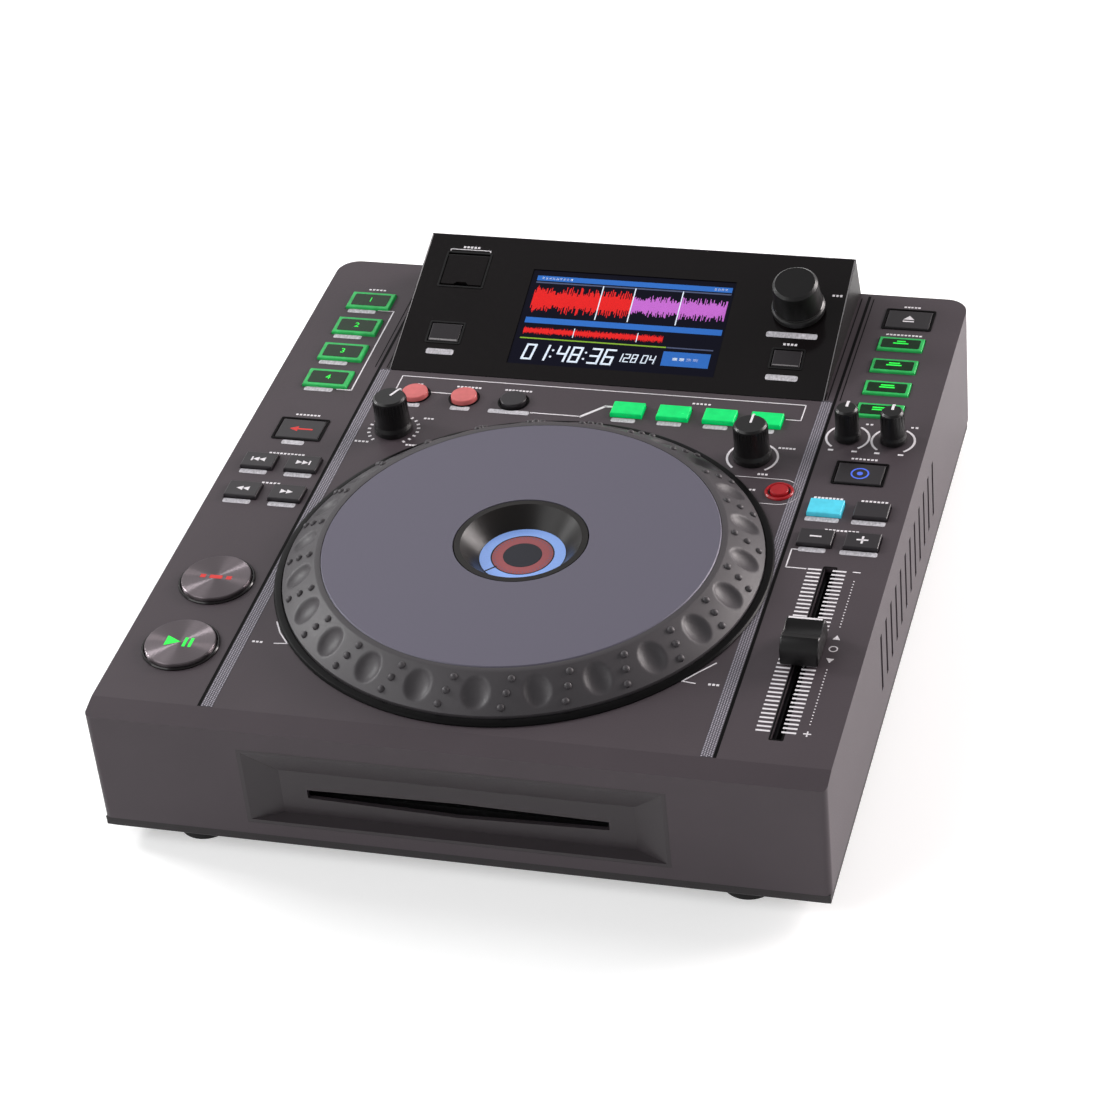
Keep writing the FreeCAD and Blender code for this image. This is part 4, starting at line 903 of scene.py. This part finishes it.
for side, end_x in ((1, 72), (-1, 76)):
    y = SLIP[1] + side * (SLIP_REACH - 0.15)
    white.line([(SLIP[0], y), (end_x, y)], 0.3)
white.done("deck_lines", "print_white")

# %% Short bars where the legends were
LETTER_PITCH = 1.7
LETTER_SIDE = 1.15
LEGENDS = [(-127.3, 320.6, 9), (-127.4, 215.2, 12), (-127.3, 184.7, 17), (-127.2, 162.4, 9),
           (127.5, 336.0, 8), (127.6, 312.6, 17), (127.6, 214.3, 12), (117.6, 184.2, 13),
           (137.6, 184.2, 12), (127.6, 162.0, 15), (-83.5, 245.8, 3), (-60.3, 246.2, 12),
           (-37.0, 246.4, 13), (47.9, 246.6, 9), (92.6, 218.0, 8), (69.0, 197.6, 4),
           (86.0, 197.6, 5), (83.0, 185.9, 5), (-96.8, 198.6, 7), (-73.4, 198.6, 6),
           (-71.6, 219.6, 5), (-96.2, 54.2, 5), (96.4, 54.4, 5), (125.0, 240.6, 4),
           (145.0, 240.6, 4), (111.6, 219.6, 2.4), (122.0, 219.6, 2.4), (132.0, 219.6, 2.4),
           (142.4, 219.6, 2.4)]
words = []
for x, y, width in LEGENDS:
    letters = max(2, round(width / LETTER_PITCH))
    words.append(("row", x, y, letters, width / letters, LETTER_SIDE, LETTER_SIDE))
printed("deck_legend_bars", "print_white", DECK, words)

# %% Grey label plates
LABELS = [(-129.4, y - 8.3, 13.6) for y in (310.0, 288.1, 266.2, 244.3)]
LABELS += [(-127.6, 193.6, 10.5), (-138.2, 169.8, 12.6), (-117.4, 169.8, 12.6),
           (-138.2, 147.6, 12.6), (-117.4, 147.6, 12.6), (117.6, 168.8, 14.6),
           (137.6, 168.8, 14.6), (117.6, 147.3, 11.6), (137.4, 147.3, 16.0),
           (-82.6, 229.4, 7.0), (-60.1, 229.4, 9.0), (-37.2, 229.4, 19.0)]
LABELS += [(15.8 + 21 * index, 229.6, 11.0) for index in range(4)]
PANEL_LABELS = [(-80.5, 12.5, 13.1), (80.3, 36.4, 23.6), (80.1, 11.4, 14.8)]
for name, face, labels, height, slot in (
        ("deck_label_plates", DECK, LABELS, 3.0, "case_plastic"),
        ("panel_label_plates", PANEL, PANEL_LABELS, 3.2, "gloss_black")):
    printed(name, "label_grey", face,
            [("pill", x, y, width, height) for x, y, width in labels])
words = [("row", x, y, letters, 1.75, LETTER_SIDE, 1.2)
         for x, y, letters in ((-80.5, 76.6, 5), (80.6, 31.0, 4), (97.0, 61.6, 3))]
bracket = [(-90.3, 74.2), (-90.3, 75.1), (-70.9, 75.1), (-70.9, 74.2)]
printed("panel_lines", "print_white", PANEL, [("line", bracket, 0.4)] + words)

# %% [markdown]
# ## The fader's scale
#
# Two ladders of ticks stand beside the fader's slot, with a dotted line and small signs to
# their right. The row tree makes the ticks and the dots from one tick and one dot.

# %% Ladders and dotted line
FADER = (127.7, 80.8)
TICKS = 41
FIRST_TICK = 29.9
TICK_PITCH = 2.61
SIGN_X = 139.1
scale_meshes = [row(tick_mesh(5.8, 0.95), spot(DECK, x, FIRST_TICK), "print_white", TICKS,
                    (0, TICK_PITCH, 0)) for x in (121.5, 131.9)]
scale_meshes += [row(dot_mesh(0.32), spot(DECK, SIGN_X, y), "print_white", count, (0, 1.9, 0))
                 for y, count in ((36.0, 19), (98.0, 17))]
add_piece("fader_scale", merge("fader_scale", scale_meshes), "print_white")
printed("fader_signs", "print_white", DECK, [
    ("bar", SIGN_X, 134.6, 3.2, 0.6), ("bar", SIGN_X, 30.2, 3.2, 0.6),
    ("bar", SIGN_X, 30.2, 0.6, 3.2), ("ring", SIGN_X, 83.6, 1.9, 0.5, 24),
    ("polygon", [(SIGN_X - 1.6, 89.6), (SIGN_X + 1.6, 89.6), (SIGN_X, 92.4)]),
    ("polygon", [(SIGN_X + 1.6, 77.4), (SIGN_X - 1.6, 77.4), (SIGN_X, 74.6)])])
printed("fader_slot_edge", "line_black", DECK, [
    ("frame", rounded_box(*FADER, 6.0, 112.4, 0.8), rounded_box(*FADER, 4.4, 110.9, 0.1))],
        high=0.03)

# %% [markdown]
# ## Knobs
#
# The grips have fine ribs and a white pointer that runs across the top and a little way down
# the side. The ribs come from the circle tree, and each set rides on its own knob, so they
# turn with it.

# %% Ribs, pointers and the dots round the first knob
RIB_FOOT = 4.2
KNOB_SWEEP = 280
TOUCH_DOTS = 19


def knob_details(name, centre, radius, height, ribs, pointer_turn, width):
    rib = tick_mesh(0.5, 0.7, low=RIB_FOOT, high=height - 1.6)
    add_piece(name + "_ribs", circle(rib, spot(DECK, *centre), "knob_black", ribs, radius + 0.1),
              "knob_black", name)
    turned = spot(DECK, *centre) @ Matrix.Rotation(math.radians(pointer_turn), 4, "Z")
    top = Print(turned, low=height - 0.3, high=height + 0.06)
    top.bar(0, radius * 0.5, width, radius - 1.4)
    side = Print(turned, low=height - 3.6, high=height - 0.2)
    side.bar(0, radius - 0.1, width, 1.1)
    side.bar(0, radius - 0.55, width, 0.9)
    add_piece(name + "_pointer", merge(name, [top.mesh("top"), side.mesh("side")]), "print_white",
              name)


knob_details("touch_knob", TOUCH, 7.3, 18.0, 30, -25, 1.0)
knob_details("filter_knob", FILTER, 7.3, 18.0, 30, 0, 1.0)
knob_details("trim_knob_inner", TRIM_INNER, 4.9, 16.0, 18, 0, 1.2)
knob_details("trim_knob_outer", TRIM_OUTER, 4.9, 16.0, 18, 0, 1.2)
touch_dots = circle(tick_mesh(1.5, 1.0), spot(DECK, *TOUCH), "print_white", TOUCH_DOTS, 11.2,
                    math.radians(90 - KNOB_SWEEP / 2), math.radians(KNOB_SWEEP / (TOUCH_DOTS - 1)))
add_piece("touch_knob_scale", touch_dots, "print_white")

# %% Browse knob skirt ring
BROWSE = spot(PANEL, 81.0, 51.6)
SKIRT_RING = [(11.1, 4.3), (11.5, 4.3), (11.6, 4.9), (11.3, 5.3), (10.9, 5.2)]
add_piece("browse_knob_ring", lathe(SKIRT_RING, BROWSE, steps=96), "gloss_black",
          "browse_knob", smooth=40)

# %% [markdown]
# ## Marks on the buttons
#
# Each button's mark rides on that button, so it goes down with it. The hot cue and source
# buttons are clear green with a dark plate in the middle, which leaves the glowing border. The
# marks are a list of shapes for each button, because a list is shorter than a function each.

# %% Numbers as solid letters
def number_mesh(text, size, place):
    curve = bpy.data.curves.new("number", "FONT")
    curve.body = text
    curve.size = size * MM
    curve.extrude = FILM * MM
    curve.align_x = curve.align_y = "CENTER"
    holder = bpy.data.objects.new("number", curve)
    flat = bpy.data.meshes.new_from_object(holder)
    bpy.data.objects.remove(holder)
    shape = bmesh.new()
    shape.from_mesh(flat)
    mesh = finish_mesh(shape, "number")
    mesh.transform(place)
    return mesh


# %% Lit frames with dark plates
LEFT = -127.2
RIGHT = 127.6
for index, number in enumerate(NUMBERS):
    name = "hot_cue_button_" + number
    y = 310.0 - 21.9 * index
    printed(name + "_plate", "deep_green", DECK,
            [("polygon", rounded_box(LEFT, y, 17.4, 9.4, 0.8))], name, low=1.1, high=1.32)
    add_piece(name + "_number", number_mesh(number, 5.0, spot(DECK, LEFT, y, 1.36)),
              "symbol_green", name)
    name = "source_button_" + number
    y = 304.4 - 17.8 * index
    printed(name + "_plate", "deep_green", DECK,
            [("polygon", rounded_box(RIGHT, y, 17.6, 7.0, 0.7))], name, low=0.8, high=1.02)
    printed(name + "_mark", "symbol_green", DECK,
            [("bar", RIGHT, y, 7.0, 0.9), ("bar", RIGHT, y + 1.6, 4.0 + index, 0.9)], name,
            low=1.0, high=1.1)

# %% Arrows, signs and painted highlights
FLUSH, RAISED, METAL = 0.3, 1.8, 2.2
JOG_MODE_Y = 203.4
REVERSE_Y = 203.9
BEND_Y = 154.7


def skip_mark(x, y, pointing, stop):
    marks = [("triangle", x + shift, y, 2.9, pointing) for shift in (-1.5, 1.4)]
    if stop:
        marks.append(("bar", x + pointing * 3.3, y, 0.7, 2.9))
    return marks


CUE_X, CUE_Y = CUE_CENTRE
PLAY_X, PLAY_Y = PLAY_CENTRE
MARKS = [("%s_%s" % (kind, way), DECK, RAISED, "print_white", skip_mark(x, y, pointing, stop))
         for kind, y, stop in (("track", 177.0, True), ("search", 154.9, False))
         for way, x, pointing in (("back", -137.4, -1), ("forward", -117.1, 1))]
MARKS += [
    ("bend_down", DECK, RAISED, "print_white", [("bar", 117.9, BEND_Y, 5.0, 0.9)]),
    ("bend_up", DECK, RAISED, "print_white",
     [("bar", 137.8, BEND_Y, 5.0, 0.9), ("bar", 137.8, BEND_Y, 0.9, 5.0)]),
    ("eject", DECK, FLUSH, "print_white",
     [("polygon", [(RIGHT - 2.6, 325.3), (RIGHT + 2.6, 325.3), (RIGHT, 328.6)]),
      ("bar", RIGHT, 323.9, 5.2, 0.9)]),
    ("play", DECK, METAL, "symbol_green",
     [("triangle", PLAY_X - 3.0, PLAY_Y, 6.4, 1)]
     + [("bar", PLAY_X + shift, PLAY_Y, 1.3, 5.8) for shift in (2.2, 4.8)]),
    ("cue", DECK, METAL, "symbol_red",
     [("bar", CUE_X + shift, CUE_Y, width, 2.2)
      for shift, width in ((-5.8, 2.4), (0, 5.6), (5.8, 2.4))]),
    ("reverse", DECK, FLUSH, "symbol_red",
     [("triangle", LEFT - 3.2, REVERSE_Y, 3.8, -1), ("bar", LEFT + 2.0, REVERSE_Y, 7.4, 1.0)]),
    ("jog_mode", DECK, FLUSH, "symbol_blue",
     [("ring", RIGHT, JOG_MODE_Y, 4.0, 0.7), ("dot", RIGHT, JOG_MODE_Y, 1.3)]),
    # The light bars on the shift and back buttons are painted highlights along their lower edges.
    ("shift", PANEL, FLUSH, "painted_highlight", [("bar", -80.6, 19.5, 13.2, 0.9)]),
    ("back", PANEL, FLUSH, "painted_highlight", [("bar", 80.6, 18.6, 11.8, 0.6)])]
for name, face, rise, look, marks in MARKS:
    name += "_button"
    printed(name + "_mark", look, face, marks, name, rise - 0.05, rise + 0.06)

# %% [markdown]
# ## Frames round the buttons
#
# The flat buttons sit in raised black frames, and the metal ones in a glossy ring. A frame is
# a plate between two outlines with its own small thickness.

# %% Button frames
DECK_FRAMES = [(x, y, 21.3, 15.1) for x, y in ((LEFT, 204.0), (RIGHT, 325.5), (RIGHT, JOG_MODE_Y))]
PANEL_FRAMES = [(-80.6, 24.0, 15.3, 11.5), (80.6, 22.6, 13.9, 10.5), (-80.6, 62.6, 20.5, 20.3)]
FRAME_WIDTH = 1.7
for name, face, places, high, look in (
        ("deck_button_frames", DECK, DECK_FRAMES, 0.35, "line_black"),
        ("panel_button_frames", PANEL, PANEL_FRAMES, 0.3, "knob_black")):
    frames = [("frame", rounded_box(x, y, width + FRAME_WIDTH, length + FRAME_WIDTH, 0.9),
               rounded_box(x, y, width, length, 0.3)) for x, y, width, length in places]
    printed(name, look, face, frames, high=high)

# %% Collars
COLLAR = [(16.4, -0.05), (16.4, 0.5), (16.0, 0.9), (15.6, 0.9), (15.4, 0.7), (15.4, -0.05)]
SLIP_RING = [(6.3, -0.05), (6.3, 0.5), (5.9, 0.9), (5.3, 0.9), (5.0, 0.5), (5.0, -0.05)]
LOOP_COLLAR = [(7.2, -0.05), (7.2, 0.2), (6.9, 0.35), (6.5, 0.35), (6.4, 0.2), (6.4, -0.05)]
LOOP_PLACES = [(x, 237.6) for x in (-83.5, -60.25, -37.0)]
TRANSPORT_PLACES = (CUE_CENTRE, PLAY_CENTRE)
for name, profile, places, steps, look, slot, smooth in (
        ("transport_collars", COLLAR, TRANSPORT_PLACES, 96, "gloss_black", "gloss_black", 30),
        ("slip_ring", SLIP_RING, (SLIP,), 72, "dome_red", "button_red", 40),
        ("loop_collars", LOOP_COLLAR, LOOP_PLACES, 64, "line_black", "gloss_black", 30)):
    collars = [lathe(profile, spot(DECK, *place), steps) for place in places]
    add_piece(name, merge(name, collars), look, smooth=smooth)

# %% [markdown]
# ## The fader's cap
#
# The cap has a hollow top for the fingertip, with a white line along its rear edge. Its side
# view is a smooth curve, drawn here as points and swept across the width. The blade below it
# goes down through the slot.

# %% Fader cap
CAP = spot(DECK, *FADER)
CAP_HALF_WIDTH = 7.9
CAP_SIDE = [(-10.5, 0.8), (-10.5, 3.6), (-9.9, 6.6), (-8.9, 9.4), (-7.4, 11.3), (-6.2, 11.9),
            (-4.8, 11.4), (-2.6, 10.4), (0.0, 10.0), (2.6, 10.4), (4.6, 11.4), (5.6, 12.0),
            (6.4, 12.0), (7.2, 11.4), (8.6, 8.8), (9.8, 5.6), (10.5, 3.2), (10.5, 0.8)]


def cap_mesh():
    shape = bmesh.new()
    ends = [[shape.verts.new(CAP @ (Vector((x, y, z)) * MM)) for y, z in CAP_SIDE]
            for x in (-CAP_HALF_WIDTH, CAP_HALF_WIDTH)]
    left, right = ends
    for index in range(len(CAP_SIDE)):
        after = (index + 1) % len(CAP_SIDE)
        shape.faces.new((left[index], left[after], right[after], right[index]))
    shape.faces.new(left[::-1])
    shape.faces.new(right)
    rims = [edge for edge in shape.edges if any(len(face.verts) > 4 for face in edge.link_faces)]
    bmesh.ops.bevel(shape, geom=rims, offset=0.9 * MM, segments=3, affect="EDGES", profile=0.6)
    return finish_mesh(shape, "fader_cap")


blade = Print(CAP, low=-5.5, high=1.5)
blade.bar(0, 0, 1.2, 6.0)
cap = add_piece("fader_cap_grip", merge("grip", [cap_mesh(), blade.mesh("blade")]), "knob_black",
                "fader_cap", smooth=35)
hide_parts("fader_cap")
printed("fader_cap_line", "print_white", CAP,
        [("bar", 0, 6.0, 2 * CAP_HALF_WIDTH - 1.9, 1.0)], "fader_cap", low=11.9, high=12.05)

# %% [markdown]
# ## The picture on the screen
#
# The picture is a plain one of our own: a sound wave in red and violet on top, coloured
# bands, a narrow overview and a running time. The wave is the row tree with a random height
# for each bar, from a fixed seed so that it is the same each time.

# %% Bands
GLASS = spot(PANEL, 1.6, 36.6, -0.4)
SCREEN_WIDTH = 93.0
TITLE_Y = 24.4
printed("screen_bands", "screen_blue", GLASS, [
    ("bar", 0, -1.2, SCREEN_WIDTH, 3.4), ("bar", 0, TITLE_Y, SCREEN_WIDTH, 3.0),
    ("bar", 33, -18.5, 22.0, 8.4)])

# %% Waves
WAVE_START = -45.8
WAVE_Y = 11.6
OVERVIEW_Y = -7.4
WAVE_STEP = 0.42
WAVE_LAYERS = (1.0, 0.7, 0.45)


def wave(name, x, y, count, height, look, seed, step=WAVE_STEP):
    layers = []
    for layer, share in enumerate(WAVE_LAYERS):
        bar = tick_mesh(step * 0.9, height * share, high=FILM * (1 + layer * 0.2))
        layers.append(row(bar, spot(GLASS, x, y), look, count, (step, 0, 0), 0.12 + 0.3 * layer,
                          seed + layer))
    add_piece(name, merge(name, layers), look)


wave("screen_wave_played", WAVE_START, WAVE_Y, 112, 17.0, "screen_red", seed=11)
wave("screen_wave_next", 1.6, WAVE_Y, 106, 14.0, "screen_violet", seed=29)
wave("screen_overview", WAVE_START, OVERVIEW_Y, 300, 4.6, "screen_red", seed=5, step=0.22)

# %% Time and lines
SEGMENTS = {"0": "abcdef", "1": "bc", "2": "abged", "3": "abgcd", "4": "fgbc", "5": "afgcd",
            "6": "afgedc", "7": "abc", "8": "abcdefg", "9": "abcdfg"}
LEAN = 0.16


def digit(ink, text, x, y, width, height):
    half = height / 2
    ends = {"a": ((0, height), (width, height)), "b": ((width, height), (width, half)),
            "c": ((width, half), (width, 0)), "d": ((0, 0), (width, 0)),
            "e": ((0, 0), (0, half)), "f": ((0, half), (0, height)), "g": ((0, half), (width, half))}
    for name in SEGMENTS[text]:
        points = [(x + px + py * LEAN, y + py) for px, py in ends[name]]
        ink.line(points, height * 0.12)


def write_number(ink, text, x, y, width, height):
    for letter in text:
        if letter == ":":
            for share in (0.25, 0.7):
                ink.dot(x + height * LEAN * share, y + height * share, height * 0.07, steps=8)
            x += width * 0.7
        else:
            digit(ink, letter, x, y, width, height)
            x += width * 1.6


digits = Print(GLASS)
write_number(digits, "01:48:36", -43, -24.2, 4.0, 8.4)
write_number(digits, "128", 0.8, -22.0, 2.2, 4.4)
write_number(digits, "04", 12.6, -22.0, 2.2, 4.4)
for x, y, letters, pitch, width, length in (
        (-36.8, TITLE_Y, 9, LETTER_PITCH, 1.1, 1.3), (41.15, TITLE_Y, 4, LETTER_PITCH, 1.1, 1.3),
        (32.8, -18.5, 4, 3.2, 2.2, 1.6)):
    digits.row(x, y, letters, pitch, width, length)
digits.done("screen_digits", "screen_white")

# %% Markers and thin lines
printed("screen_markers", "screen_white", GLASS,
        [("bar", x, WAVE_Y, 0.5, 20.4) for x in (-14.0, 1.4, 24.0)]
        + [("bar", x, OVERVIEW_Y, 0.4, 5.4) for x in (-22.0, 8.0)], high=FILM * 1.8)
printed("screen_progress", "screen_green", GLASS, [("bar", -12, -12.0, 69.0, 0.7)])
printed("screen_shade", "screen_grey", GLASS, [
    ("bar", 0, 21.8, SCREEN_WIDTH, 0.8), ("bar", 33.7, -12.0, 21.8, 0.7)])

# %% [markdown]
# ## The back
#
# The back isn't in the photograph. Such a player has two phono jacks there, told apart by a
# white and a red ring, so we add those rings round the CAD jacks.

# %% Jack rings
CASE_DEPTH = 345.0
JACK_HEIGHT = 32.0
JACK_RING = [(5.6, -0.1), (5.6, 0.9), (5.3, 1.2), (4.5, 1.2), (4.3, 0.9), (4.3, -0.1)]
OUT_OF_BACK = Matrix.Rotation(math.radians(-90), 4, "X") @ Matrix.Rotation(math.pi, 4, "Z")
BACK_FACE = face_matrix(CASE_DEPTH, JACK_HEIGHT, 0) @ OUT_OF_BACK
# The red ring takes the lit red of the slip button, so it glows faintly with no lamp behind it: a
# painted glow.
for jack_x, look, name in ((100.0, "print_white", "white"), (82.0, "dome_red", "red")):
    ring = lathe(JACK_RING, spot(BACK_FACE, -jack_x, 0), steps=48)
    add_piece("jack_ring_" + name, ring, look, smooth=40)

# %% [markdown]
# ## Studio
#
# The photograph was taken on white with large soft lamps. A pale floor, a sky that is
# brighter near the horizon than overhead, and four area lamps give the same calm light. One
# of them is small, because a large lamp would wash out the bright fans on the spun buttons.
# The gloss of the panel stays dark because it mirrors the darker sky above.

# %% Floor
FLOOR_REACH = 6.0
FLOOR_GLOW = 0.42
FLOOR_GRAIN = 3.0


def add_floor():
    shape = bmesh.new()
    bmesh.ops.create_grid(shape, x_segments=1, y_segments=1, size=FLOOR_REACH)
    mesh = bpy.data.meshes.new("floor")
    shape.to_mesh(mesh)
    shape.free()
    floor = bpy.data.objects.new("floor", mesh)
    bpy.context.scene.collection.objects.link(floor)
    finish = Finish("floor", (240, 240, 240), 0.9)
    finish.feed("Base Color", finish.shade(finish.noise(FLOOR_GRAIN), 0.99, 1.0))
    rays = finish.add("ShaderNodeLightPath").outputs
    seen = rays["Is Camera Ray"]
    for kind in ("Is Glossy Ray", "Is Transmission Ray"):
        seen = finish.add("ShaderNodeMath", [(0, seen), (1, rays[kind])], operation="MAXIMUM")
        seen = seen.outputs["Value"]
    finish.feed("Emission Strength", finish.between(seen, 0.0, FLOOR_GLOW))
    finish.set("Emission Color", colour(255, 255, 255))
    mesh.materials.append(finish.material)
    floor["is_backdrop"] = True


add_floor()

# %% Sky and lamps
SKY_OVERHEAD = 0.22
SKY_LOW = 0.62
WARM = (1.0, 0.93, 0.92)


def add_sky():
    world = bpy.data.worlds.new("studio")
    bpy.context.scene.world = world
    world.use_nodes = True
    tree = world.node_tree
    back = tree.nodes["Background"]
    place = add_node(tree, "ShaderNodeTexCoord").outputs["Generated"]
    split = add_node(tree, "ShaderNodeSeparateXYZ", [("Vector", place)])
    spread = add_node(tree, "ShaderNodeMapRange", [
        ("Value", split.outputs["Z"]), ("To Min", SKY_LOW), ("To Max", SKY_OVERHEAD)])
    tree.links.new(spread.outputs["Result"], back.inputs["Strength"])
    back.inputs["Color"].default_value = (1, 1, 1, 1)


def add_lamp(name, place, size, power, tint=(1.0, 1.0, 1.0)):
    data = bpy.data.lights.new(name, "AREA")
    data.color = tint
    data.shape = "SQUARE"
    data.size = size
    data.energy = power
    lamp = bpy.data.objects.new(name, data)
    lamp.location = place
    lamp.rotation_euler = (-Vector(place)).to_track_quat("-Z", "Y").to_euler()
    bpy.context.scene.collection.objects.link(lamp)


add_sky()
add_lamp("right_lamp", (1.5, 1.1, 0.5), 1.0, 54.0, WARM)
add_lamp("left_lamp", (-1.6, -1.2, 1.6), 1.6, 22.0)
add_lamp("back_lamp", (-1.7, 1.7, 1.5), 2.2, 13.0)
add_lamp("glint_lamp", (-1.7, 0.3, 0.95), 0.45, 20.0)
bpy.context.scene.view_settings.view_transform = "Standard"

# %% [markdown]
# ## The size of the model
#
# The visual model has to stay in the CAD model's box. The script prints the box of everything it
# shows.

# %% Print the visual box
print("visual box:", plain_box())
